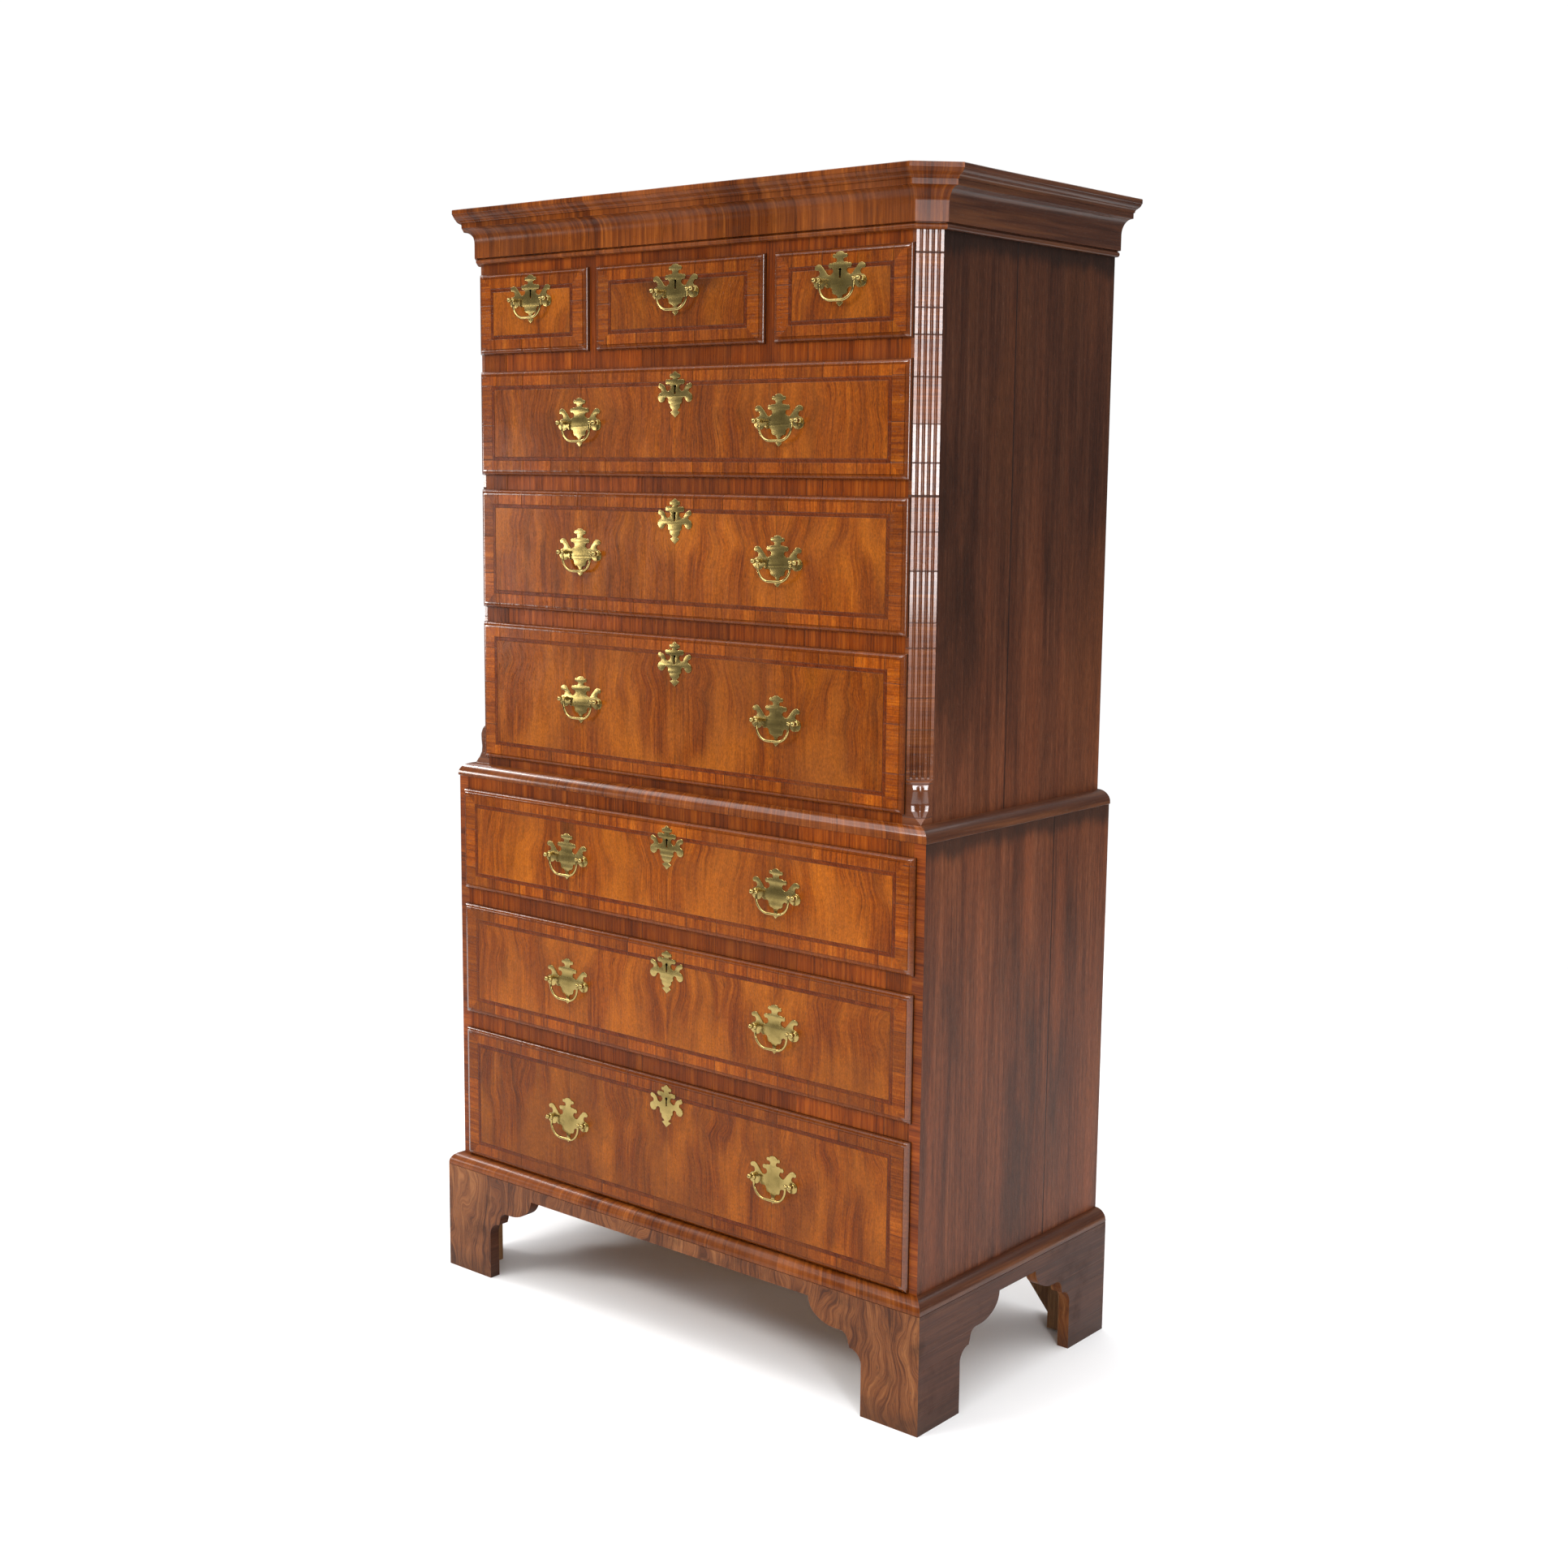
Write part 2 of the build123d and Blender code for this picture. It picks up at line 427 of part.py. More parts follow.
def canted_corners():
    """The two corner posts, with flutes down the cant and a carved ogee stop at its foot."""
    y0, corner, edge = UPPER_SETBACK, UPPER_HALF - CANT, UPPER_OPENING_HALF
    outline = [(edge, y0), (corner, y0), (UPPER_HALF, y0 + CANT), (UPPER_INNER, y0 + CANT),
               (UPPER_INNER, POST_BACK), (edge, POST_BACK)]
    post = plan_prism(outline, LOWER_TOP, UPPER_CASE_TOP)
    slope = sqrt(0.5)
    middle = Vector(UPPER_HALF - CANT / 2, y0 + CANT / 2, 0)
    normal, across = Vector(slope, -slope, 0), Vector(slope, slope, 0)
    flute_bottom = WAIST_TOP + STOP_HEIGHT
    flute_top = TOP - CORNICE_HEIGHT
    for n in range(FLUTES):
        centre = middle + across * FLUTE_PITCH * (n - (FLUTES - 1) / 2) + normal * FLUTE_LIFT
        flute = Cylinder(FLUTE_RADIUS, flute_top - flute_bottom, align=(Align.CENTER, Align.CENTER, Align.MIN))
        post -= Pos(centre.X, centre.Y, flute_bottom) * flute
    depth, z = CANT * slope, WAIST_TOP
    bulge, neck, base = depth * 0.47, depth * 0.52, 4.0
    top, hip, waist = z + STOP_HEIGHT - 1, z + STOP_HEIGHT * 0.82, z + STOP_HEIGHT * 0.36
    profile = make_face([
        ThreePointArc((0, top), (bulge * 0.72, top - 3), (bulge, hip)),
        ThreePointArc((bulge, hip), (bulge * 0.93, (hip + waist) / 2), (neck, waist)),
        ThreePointArc((neck, waist), (depth * 0.7, (waist + z + base) / 2), (depth, z + base)),
        Line((depth, z + base), (depth, LOWER_TOP)), Line((depth, LOWER_TOP), (-1, LOWER_TOP)),
        Line((-1, LOWER_TOP), (-1, top)), Line((-1, top), (0, top)),
    ])
    plane = Plane(origin=middle, x_dir=normal, z_dir=normal.cross(Vector(0, 0, 1)))
    corner_prism = plan_prism([(corner - 1, y0), (UPPER_HALF, y0), (UPPER_HALF, y0 + CANT),
                               (UPPER_HALF - 1, y0 + CANT)], LOWER_TOP, z + STOP_HEIGHT)
    stop = extrude(plane * profile, amount=CANT, both=True) & corner_prism
    return both_sides((post + stop).solid())


def back_boards():
    """Three upright boards across the back of each case, let into the sides."""
    solids = []
    for half, z0, z1 in ((LOWER_INNER, FOOT_HEIGHT, LOWER_TOP), (UPPER_INNER, LOWER_TOP, UPPER_CASE_TOP)):
        reach = half + BOARD / 2
        width = 2 * reach / 3
        solids += [block(-reach + n * width, -reach + (n + 1) * width, BACK_FACE, CASE_DEPTH, z0, z1)
                   for n in range(3)]
    return solids


# ---------------------------------------------------------------- brasses
def plate_face(top, half):
    """A symmetrical plate outline, closed by mirroring its right half."""
    edges, start = [], top
    for via, end in half:
        for side in (1, -1):
            a, b = (start[0] * side, start[1]), (end[0] * side, end[1])
            edges.append(Line(a, b) if via is None else ThreePointArc(a, (via[0] * side, via[1]), b))
        start = end
    return make_face(edges)


def keyhole_face():
    """A round hole over a straight slot."""
    radius, half_slot, drop = KEYHOLE
    return Circle(radius) + Pos(0, -drop / 2) * Rectangle(2 * half_slot, drop)


def bail(x, y_plate, z):
    """A swing handle: a bent rod with a bead at each end and a pin that turns in each post."""
    y = y_plate - PIVOT_STANDOFF
    path = FilletPolyline((-BAIL_HALF_WIDTH, y, z), (-BAIL_HALF_WIDTH, y, z - BAIL_DROP),
                          (BAIL_HALF_WIDTH, y, z - BAIL_DROP), (BAIL_HALF_WIDTH, y, z), radius=BAIL_CORNER)
    rod = sweep(Plane(origin=path @ 0, z_dir=path % 0) * Circle(BAIL_ROD), path=path)
    pin_length = POST_SPREAD + PIN_IN_POST - BAIL_HALF_WIDTH
    for side in (-1, 1):
        rod += Pos(side * BAIL_HALF_WIDTH, y, z) * Rot(0, 0, -90) * Sphere(BAIL_BEAD)
        pin = Rot(0, 90, 0) * Cylinder(PIN, pin_length)
        rod += Pos(side * (BAIL_HALF_WIDTH + pin_length / 2), y, z) * pin
    return Pos(x, 0, 0) * rod.solid()


def post_solid(x, y_plate, z, side):
    """A handle post, turned in one piece: shank through the front, neck and bored ball."""
    y_pivot, y_inside = y_plate - PIVOT_STANDOFF, y_plate + PLATE + LIP + CORE + SHANK_TAIL
    y_neck = y_pivot + sqrt(POST_BALL ** 2 - POST_NECK ** 2)
    outline = Polyline((y_pivot - POST_BALL, 0), (y_inside, 0), (y_inside, SHANK), (y_plate, SHANK),
                       (y_plate, POST_NECK), (y_neck, POST_NECK)).edges()
    outline += [ThreePointArc((y_neck, POST_NECK), (y_pivot, POST_BALL), (y_pivot - POST_BALL, 0))]
    turning = Plane(origin=(x, 0, z), x_dir=(0, 1, 0), z_dir=(1, 0, 0))
    post = revolve(turning * make_face(outline), axis=Axis((x, 0, z), (0, 1, 0)))
    bore_end = PIN_IN_POST + 0.4
    bore = Rot(0, 90, 0) * Cylinder(PIN + PIN_CLEARANCE, POST_BALL + 2 + bore_end)
    return post - Pos(x + side * (bore_end - POST_BALL - 2) / 2, y_pivot, z) * bore


def handle_fixings(x, y_face, z, keyhole):
    """Back plate, two posts and their nuts. The keyhole is pierced only on a short drawer."""
    y_plate = y_face - PLATE
    plate = extrude(front_plane(x, y_face, z) * plate_face(PLATE_TOP, PLATE_HALF), amount=PLATE)
    if keyhole:
        hole = Pos(0, KEYHOLE_ABOVE_PIVOT) * keyhole_face()
        plate -= extrude(front_plane(x, y_face + 1, z) * hole, amount=PLATE + 2)
    solids = []
    nut_radius, nut_thick = NUT
    y_nut = y_face + LIP + CORE + nut_thick / 2
    for side in (-1, 1):
        post_x = x + side * POST_SPREAD
        turn = Pos(post_x, y_nut, z) * Rot(90, 0, 0)
        solids.append(turn * (Cylinder(nut_radius, nut_thick) - Cylinder(SHANK_HOLE, nut_thick + 2)))
        plate -= Pos(post_x, y_face, z) * Rot(90, 0, 0) * Cylinder(SHANK_HOLE, 4 * PLATE)
        solids.append(post_solid(post_x, y_plate, z, side))
    return [plate] + solids


def lock_solids(x, y_case, z_core_top, z_key):
    """The lock case, let into the back of the front, with the pin that a key turns on, and its bolt."""
    width, height, depth = LOCK
    bolt_width, bolt_height, bolt_depth = BOLT
    y0, y_bolt = y_case + CORE - depth, y_case + bolt_offset()
    gap = BOLT_GAP
    case = block(x - width / 2, x + width / 2, y0, y0 + depth, z_core_top - height, z_core_top)
    case -= block(x - bolt_width / 2 - gap, x + bolt_width / 2 + gap, y_bolt - gap,
                  y_bolt + bolt_depth + gap, z_core_top - bolt_height - gap, z_core_top + 1)
    case -= extrude(front_plane(x, y0 + depth / 2, z_key) * keyhole_face(), amount=depth)
    pin = Pos(x, y0 + depth / 4, z_key) * Rot(90, 0, 0) * Cylinder(KEY_PIN, depth / 2)
    bolt = block(x - bolt_width / 2, x + bolt_width / 2, y_bolt, y_bolt + bolt_depth,
                 z_core_top - bolt_height, z_core_top)
    bolt -= extrude(front_plane(x, y_bolt + bolt_depth + 1, z_key) * Circle(KEYHOLE[0] + 1.5),
                    amount=bolt_depth + 2)
    return [case, pin], bolt


# ---------------------------------------------------------------- drawers
def tails(half_width, y_case, z0, z1):
    """The lapped dovetails at the front end of a drawer's right-hand side, as wedge-shaped blocks."""
    width, pitch, flare = TAIL
    count = max(1, int((z1 - z0 - width) // pitch) + 1)
    middle, solids = (z0 + z1) / 2, []
    plane = Plane(origin=(half_width - LINING, y_case, 0), x_dir=(0, 1, 0), z_dir=(1, 0, 0))
    for n in range(count):
        z = middle + (n - (count - 1) / 2) * pitch
        root, tip = width / 2 - flare, width / 2
        outline = Polyline((0, z - tip), (CORE, z - root), (CORE, z + root), (0, z + tip), close=True)
        solids.append(extrude(plane * make_face(outline), amount=LINING))
    return solids


def drawer(name, x, width, z0, opening, y_case, handles, pivot_z):
    """All the nodes of one drawer, as {node name: list of solids}."""
    y_face = y_case - LIP
    half = width / 2
    core_half, core_z0, core_z1 = half - SIDE_GAP, z0 + BOTTOM_GAP, z0 + opening - SIDE_GAP
    own_keyhole = len(handles) == 1
    key_z = pivot_z + KEYHOLE_ABOVE_PIVOT if own_keyhole else z0 + opening - KEYHOLE_DROP
    side_z1 = core_z1 - LINING_DROP

    lap, inset = LIP_OVERLAP, LIP_MOULDING - LIP_OVERLAP
    lip = block(-half - lap, half + lap, y_face + LIP_STEP, y_case, z0 - lap, z0 + opening + lap)
    lip = fillet(lip.faces().sort_by(Axis.Y)[0].edges(), LIP_ROUND)
    flat = block(-half + inset, half - inset, y_face, y_case, z0 + inset, z0 + opening - inset)
    front = lip + flat + block(-core_half, core_half, y_case, y_case + CORE, core_z0, core_z1)
    side_tails = tails(core_half, y_case, core_z0, side_z1)
    for tail in side_tails:
        front -= tail
        front -= tail.mirror(Plane.YZ)
    lock_width, lock_height, lock_depth = LOCK
    front -= block(-lock_width / 2, lock_width / 2, y_case + CORE - lock_depth, y_case + CORE,
                   core_z1 - lock_height, core_z1)
    front -= extrude(front_plane(0, y_case + CORE, key_z) * keyhole_face(), amount=LIP + CORE + 1)
    for handle in handles:
        for side in (-1, 1):
            hole = Rot(90, 0, 0) * Cylinder(SHANK_HOLE, 4 * (LIP + CORE))
            front -= Pos(handle + side * POST_SPREAD, y_case, pivot_z) * hole

    back_end = BACK_FACE - REAR_CLEARANCE
    inner = core_half - LINING
    side = block(inner, core_half, y_case + CORE, back_end, core_z0, side_z1)
    for tail in side_tails:
        side += tail
    bottom_z = core_z0 + BOTTOM_LIFT
    bottom = block(-inner, inner, y_case + CORE, back_end, bottom_z, bottom_z + DRAWER_BOTTOM)
    back = block(-inner, inner, back_end - LINING, back_end, bottom_z + DRAWER_BOTTOM, side_z1 - LINING_DROP)
    box = both_sides(side.solid()) + [back, bottom]

    lock, bolt = lock_solids(0, y_case, core_z1, key_z)
    brasses = list(lock)
    if not own_keyhole:
        plate = extrude(front_plane(0, y_face, key_z) * plate_face(ESCUTCHEON_TOP, ESCUTCHEON_HALF), amount=PLATE)
        brasses.append(plate - extrude(front_plane(0, y_face + 1, key_z) * keyhole_face(), amount=PLATE + 2))
    nodes = {}
    for handle in handles:
        brasses += handle_fixings(handle, y_face, pivot_z, own_keyhole)
        which = "" if own_keyhole else ("_left" if handle < 0 else "_right")
        nodes[f"{name}_bail{which}"] = [bail(handle, y_face - PLATE, pivot_z)]
    nodes.update({f"{name}_front": [front], f"{name}_box": box, f"{name}_brasses": brasses,
                  f"{name}_lock_bolt": [bolt]})
    return {node: [Pos(x, 0, 0) * solid for solid in solids] for node, solids in nodes.items()}


def all_drawers():
    """Nine drawers: three short ones over three long ones in the upper case, three long ones below."""
    nodes = {}
    short_pivot = SHORT_TOP - SHORT_HANDLE_DROP
    for name, x, width in (("drawer_short_left", -SHORT_SIDE_X, SHORT_SIDE_OPENING),
                           ("drawer_short_middle", 0.0, MIDDLE_OPENING),
                           ("drawer_short_right", SHORT_SIDE_X, SHORT_SIDE_OPENING)):
        nodes.update(drawer(name, x, width, SHORT_ROW, SHORT_OPENING, UPPER_SETBACK, [0.0], short_pivot))
    for case, half, y_case, heights, openings, handle_x in (
        ("upper", UPPER_OPENING_HALF, UPPER_SETBACK, UPPER_ROWS[:3], UPPER_OPENINGS, UPPER_HANDLE_X),
        ("lower", LOWER_INNER, 0.0, LOWER_ROWS, LOWER_OPENINGS, LOWER_HANDLE_X),
    ):
        for n, (z0, opening) in enumerate(zip(heights, openings)):
            name = f"drawer_{case}_{len(openings) - n}"
            nodes.update(drawer(name, 0.0, 2 * half, z0, opening, y_case,
                                [-handle_x, handle_x], z0 + opening / 2))
    return nodes


def all_nodes():
    """Every node of the piece, as {name: list of solids}."""
    nodes = {
        "lower_sides": side_boards(LOWER_HALF, 0.0, LOWER_SEAM, FOOT_HEIGHT, LOWER_TOP),
        "lower_frame": lower_frame(),
        "bracket_base": bracket_base(),
        "case_mouldings": case_mouldings(),
        "upper_sides": side_boards(UPPER_HALF, UPPER_SETBACK + CANT, UPPER_SETBACK + UPPER_SEAM,
                                   LOWER_TOP, UPPER_CASE_TOP),
        "upper_frame": upper_frame(),
        "canted_corners": canted_corners(),
        "cornice": cornice(),
        "back_boards": back_boards(),
    }
    nodes.update(all_drawers())
    return nodes


os.makedirs("parts", exist_ok=True)
for node_name, node_solids in all_nodes().items():
    moved = [TO_CENTRE * solid for shape in node_solids for solid in shape.solids()]
    export_step(Compound(moved) if len(moved) > 1 else moved[0], f"parts/{node_name}.step")
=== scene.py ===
import math

import bmesh
import bpy
import numpy as np
from mathutils import Matrix, Vector


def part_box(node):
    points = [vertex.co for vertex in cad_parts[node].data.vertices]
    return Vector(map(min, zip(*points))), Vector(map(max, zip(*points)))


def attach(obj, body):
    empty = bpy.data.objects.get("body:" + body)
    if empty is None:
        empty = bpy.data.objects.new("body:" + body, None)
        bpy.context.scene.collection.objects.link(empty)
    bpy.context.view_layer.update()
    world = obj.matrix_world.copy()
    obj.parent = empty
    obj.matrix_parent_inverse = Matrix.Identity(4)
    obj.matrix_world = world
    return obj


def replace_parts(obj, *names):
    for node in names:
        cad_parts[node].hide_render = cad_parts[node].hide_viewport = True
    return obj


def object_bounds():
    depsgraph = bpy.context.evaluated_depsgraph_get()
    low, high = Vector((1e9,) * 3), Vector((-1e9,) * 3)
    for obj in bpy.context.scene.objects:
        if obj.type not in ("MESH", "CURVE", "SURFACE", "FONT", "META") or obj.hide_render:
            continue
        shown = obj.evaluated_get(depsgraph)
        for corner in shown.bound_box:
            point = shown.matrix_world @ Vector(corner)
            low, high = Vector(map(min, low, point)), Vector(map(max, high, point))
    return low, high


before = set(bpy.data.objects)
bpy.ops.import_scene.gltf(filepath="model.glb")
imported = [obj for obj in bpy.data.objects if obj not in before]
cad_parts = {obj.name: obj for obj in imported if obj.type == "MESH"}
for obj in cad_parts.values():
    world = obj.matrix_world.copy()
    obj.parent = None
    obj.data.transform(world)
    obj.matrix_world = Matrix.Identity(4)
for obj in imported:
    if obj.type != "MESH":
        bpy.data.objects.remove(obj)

cad_low, cad_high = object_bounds()

# ------------------------------------------------------------------ the studio
# A pale floor and a white surround. Three soft windows on the left light the front, a narrow one on
# the right catches the canted corner, and a wide ceiling light whitens the floor. The camera stands
# off the right-hand front corner of the chest.
scene = bpy.context.scene
scene.view_settings.view_transform = "Standard"
scene.view_settings.look = "None"

lens = bpy.data.cameras.new("studio_camera")
LENS_LENGTH, FILM_WIDTH = 47.36, 36.0
lens.lens, lens.sensor_width = LENS_LENGTH, FILM_WIDTH
camera = bpy.data.objects.new("studio_camera", lens)
scene.collection.objects.link(camera)
scene.camera = camera
CAMERA_AT = Vector((2.1567, -2.5550, 1.3869))
CAMERA_YAW, CAMERA_PITCH, CAMERA_ROLL = 0.693, -0.150, 0.010
looking = Vector((-math.sin(CAMERA_YAW) * math.cos(CAMERA_PITCH),
                  math.cos(CAMERA_YAW) * math.cos(CAMERA_PITCH), math.sin(CAMERA_PITCH)))
level = looking.cross(Vector((0, 0, 1))).normalized()
upright = level.cross(looking)
right = math.cos(CAMERA_ROLL) * level + math.sin(CAMERA_ROLL) * upright
above = math.cos(CAMERA_ROLL) * upright - math.sin(CAMERA_ROLL) * level
turned_to = Matrix((right, above, -looking)).transposed()
camera.matrix_world = Matrix.Translation(CAMERA_AT) @ turned_to.to_4x4()

# The surround lights the chest less than it shows, so that its own shadows stay on it.
LIGHT_GIVEN, WHITE_SEEN = 0.19, 1.02
surround = bpy.data.worlds.new("white_surround")
surround.use_nodes = True
sky = surround.node_tree.nodes["Background"]
sky.inputs["Color"].default_value = (1.0, 1.0, 1.0, 1)
seen = surround.node_tree.nodes.new("ShaderNodeLightPath")
level_of_light = surround.node_tree.nodes.new("ShaderNodeMapRange")
level_of_light.inputs["To Min"].default_value = LIGHT_GIVEN
level_of_light.inputs["To Max"].default_value = WHITE_SEEN
surround.node_tree.links.new(seen.outputs["Is Camera Ray"], level_of_light.inputs["Value"])
surround.node_tree.links.new(level_of_light.outputs["Result"], sky.inputs["Strength"])
scene.world = surround


def soft_window(name, at, towards, width, height, watts, colour):
    """A rectangular soft light that faces a point."""
    data = bpy.data.lights.new(name, "AREA")
    data.shape, data.size, data.size_y = "RECTANGLE", width, height
    data.energy, data.color = watts, colour
    light = bpy.data.objects.new(name, data)
    scene.collection.objects.link(light)
    facing = (Vector(towards) - Vector(at)).to_track_quat("-Z", "Y")
    light.matrix_world = Matrix.Translation(at) @ facing.to_matrix().to_4x4()


WARM, MILD, COOL = (1.0, 0.98, 0.95), (1.0, 0.99, 0.98), (0.98, 0.98, 1.0)
soft_window("left_window", (-3.65, -3.0, 1.10), (0.0, -0.2, 1.0), 0.50, 0.75, 24, WARM)
soft_window("high_window", (-1.5, -3.4, 3.5), (0.0, -0.2, 0.9), 1.6, 0.9, 72, WARM)
soft_window("far_left_window", (-3.9, -1.0, 3.6), (-0.2, -0.2, 1.0), 0.9, 0.9, 60, MILD)
soft_window("right_window", (2.88, -1.96, 1.62), (0.45, -0.2, 1.45), 0.45, 1.25, 38, COOL)
soft_window("overhead", (0.2, -0.6, 5.0), (0.0, -0.6, 0.0), 12.0, 12.0, 900, (1.0, 1.0, 1.0))

FLOOR_RADIUS, FLOOR_SIDES = 3.3, 96
floor_rim = np.linspace(0, 2 * math.pi, FLOOR_SIDES, endpoint=False)
floor_points = FLOOR_RADIUS * np.stack([np.cos(floor_rim), np.sin(floor_rim), 0 * floor_rim], axis=1)
floor_mesh = bpy.data.meshes.new("studio_floor")
floor_mesh.from_pydata(floor_points.tolist(), [], [range(FLOOR_SIDES)])
studio_floor = bpy.data.objects.new("studio_floor", floor_mesh)
scene.collection.objects.link(studio_floor)
floor_paint = bpy.data.materials.new("floor_paint")
floor_paint.use_nodes = True
floor_shader = floor_paint.node_tree.nodes["Principled BSDF"]
floor_shader.inputs["Base Color"].default_value = (0.92, 0.92, 0.925, 1)
floor_shader.inputs["Roughness"].default_value = 0.6
floor_mesh.materials.append(floor_paint)

# ------------------------------------------------------------------ carcase sides
# Two wide solid boards to each side of each case, glued edge to edge, stained dark and waxed. Their
# front edges are faced with the same cross-grain veneer as the rails. Inside they are bare.


class Finish:
    """A finish while it is mixed: a material's node tree, with one short call for each node."""

    def __init__(self, name):
        self.material = bpy.data.materials.new(name)
        self.material.use_nodes = True
        self.tree = self.material.node_tree
        self.tree.nodes.clear()
        self.coords = self.add("TexCoord", {}, "Object")
        self.x, self.y, self.z = self.split(self.coords)

    def add(self, kind, sockets, output=0, **settings):
        """Adds one node with its settings and its sockets, and gives one of its outputs, if any."""
        node = self.tree.nodes.new("ShaderNode" + kind)
        for key, value in settings.items():
            setattr(node, key, value)
        for key, value in sockets.items():
            if isinstance(value, bpy.types.NodeSocket):
                self.tree.links.new(value, node.inputs[key])
            else:
                node.inputs[key].default_value = value
        return node.outputs[output] if node.outputs else None

    def split(self, vector):
        """The three numbers of a point or a direction."""
        parts = self.add("SeparateXYZ", {"Vector": vector}).node
        return parts.outputs[0], parts.outputs[1], parts.outputs[2]

    def join(self, x, y, z):
        """A point from its three numbers."""
        return self.add("CombineXYZ", {0: x, 1: y, 2: z})

    def work(self, operation, a, b=0.0, c=0.0):
        """One step of arithmetic on numbers."""
        return self.add("Math", {0: a, 1: b, 2: c}, operation=operation)

    def plus(self, a, b):
        """a plus b."""
        return self.work("ADD", a, b)

    def less(self, a, b):
        """a less b."""
        return self.work("SUBTRACT", a, b)

    def times(self, a, b):
        """a times b."""
        return self.work("MULTIPLY", a, b)

    def scaled(self, a, factor, more):
        """a times factor, plus more."""
        return self.work("MULTIPLY_ADD", a, factor, more)

    def size(self, a):
        """a without its sign."""
        return self.work("ABSOLUTE", a)

    def least(self, a, b):
        """The lesser of a and b."""
        return self.work("MINIMUM", a, b)

    def over(self, a, level):
        """1 where a is over the level, and 0 elsewhere."""
        return self.work("GREATER_THAN", a, level)

    def under(self, a, level):
        """1 where a is under the level, and 0 elsewhere."""
        return self.work("LESS_THAN", a, level)

    def between(self, value, low, high):
        """A smooth rise from 0 at low to 1 at high, or a fall where low is given the greater number."""
        return self.add("MapRange", {"Value": value, "From Min": low, "From Max": high},
                        interpolation_type="SMOOTHSTEP")

    def noise(self, point, stretch, detail=3.0, rough=0.55):
        """Noise on a point that is first multiplied by stretch, so that a small number is long grain."""
        scaled = self.add("VectorMath", {0: point, 1: stretch}, operation="MULTIPLY")
        return self.add("TexNoise", {"Vector": scaled, "Scale": 1.0, "Detail": detail, "Roughness": rough})

    def patches(self, point, stretch, low, high, detail=3.0, rough=0.55):
        """Soft-edged patches, where the noise passes from low to high."""
        return self.between(self.noise(point, stretch, detail, rough), low, high)

    def chance(self, a, b):
        """A random number from 0 to 1 for each pair of whole numbers."""
        return self.add("TexWhiteNoise", {"Vector": self.join(a, b, 0.0)}, noise_dimensions="3D")

    def pick(self, factor, a, b):
        """The number a, or b where factor is 1."""
        return self.add("Mix", {0: factor, 2: a, 3: b}, 0, data_type="FLOAT")

    def tint(self, factor, a, b, mode="MIX"):
        """The colour a, or b where factor is 1."""
        return self.add("Mix", {0: factor, 6: a, 7: b}, 2, data_type="RGBA", blend_type=mode)

    def stain(self, colour, where, strength, paint):
        """A colour with some of a paint laid over it where the mask is 1."""
        return self.tint(self.times(where, strength), colour, (*paint, 1))

    def shade(self, colour, tone):
        """A colour made lighter or darker: times a number."""
        return self.tint(1.0, colour, self.join(tone, tone, tone), "MULTIPLY")

    def ramp(self, value, stops):
        """A colour that runs through the stops, each a position and a colour."""
        node = self.add("ValToRGB", {0: value}).node
        while len(node.color_ramp.elements) < len(stops):
            node.color_ramp.elements.new(0.5)
        for element, (position, colour) in zip(node.color_ramp.elements, stops):
            element.position, element.color = position, (*colour, 1)
        return node.outputs[0]

    def finish(self, colour, roughness, height, bump, coat=0.0, coat_roughness=0.1, metallic=0.0,
               shine=0.16):
        """Puts the parts on the shader and gives the material. bump is the depth of the relief."""
        bumped = self.add("Bump", {"Height": height, "Strength": 1.0, "Distance": bump})
        shader = self.add("BsdfPrincipled", {
            "Base Color": colour, "Roughness": roughness, "Normal": bumped, "Metallic": metallic,
            "Coat Weight": coat, "Coat Roughness": coat_roughness,
            "Specular IOR Level": 0.5 if metallic else shine})
        self.add("OutputMaterial", {"Surface": shader})
        return self.material


def walnut_grain(f, across, along, deep, tones):
    """Plain walnut: wide streaks and fine lines drawn out along the grain, with short dark pores.
    Gives its colour and its relief."""
    point = f.join(across, along, deep)
    streaks = f.noise(point, (38, 1.9, 6), 4.0, 0.58)
    lines = f.noise(point, (420, 9, 12), 3.0)
    veins = f.noise(point, (135, 4.5, 8), 2.0, 0.6)
    pores = f.patches(point, (1150, 62, 30), 0.60, 0.72, 1.0)
    body = f.scaled(f.less(lines, 0.5), 0.75, f.scaled(streaks, 0.80, 0.10))
    body = f.scaled(f.less(veins, 0.5), 0.60, body)
    colour = f.ramp(body, tones)
    colour = f.stain(colour, pores, 0.55, (0.030, 0.012, 0.005))
    relief = f.less(f.times(lines, 0.25), f.times(pores, 0.6))
    return colour, relief


STAINED_TONES = [(0.24, (0.034, 0.0105, 0.0052)), (0.45, (0.053, 0.0168, 0.0080)),
                 (0.60, (0.069, 0.0228, 0.0106)), (0.80, (0.096, 0.0345, 0.0165))]
RAIL_TONES = [(0.26, (0.078, 0.0133, 0.0011)), (0.46, (0.152, 0.0273, 0.0016)),
              (0.60, (0.207, 0.0421, 0.0025)), (0.80, (0.276, 0.0663, 0.0054))]
BARE_TONES = [(0.26, (0.160, 0.072, 0.027)), (0.5, (0.270, 0.132, 0.052)), (0.76, (0.390, 0.212, 0.090))]
# A face whose normal's y is under this faces the front.
FACES_FRONT = -0.6
# How far a veneer joint's dark line fades out to either side.
JOINT_WIDTH = 0.0011


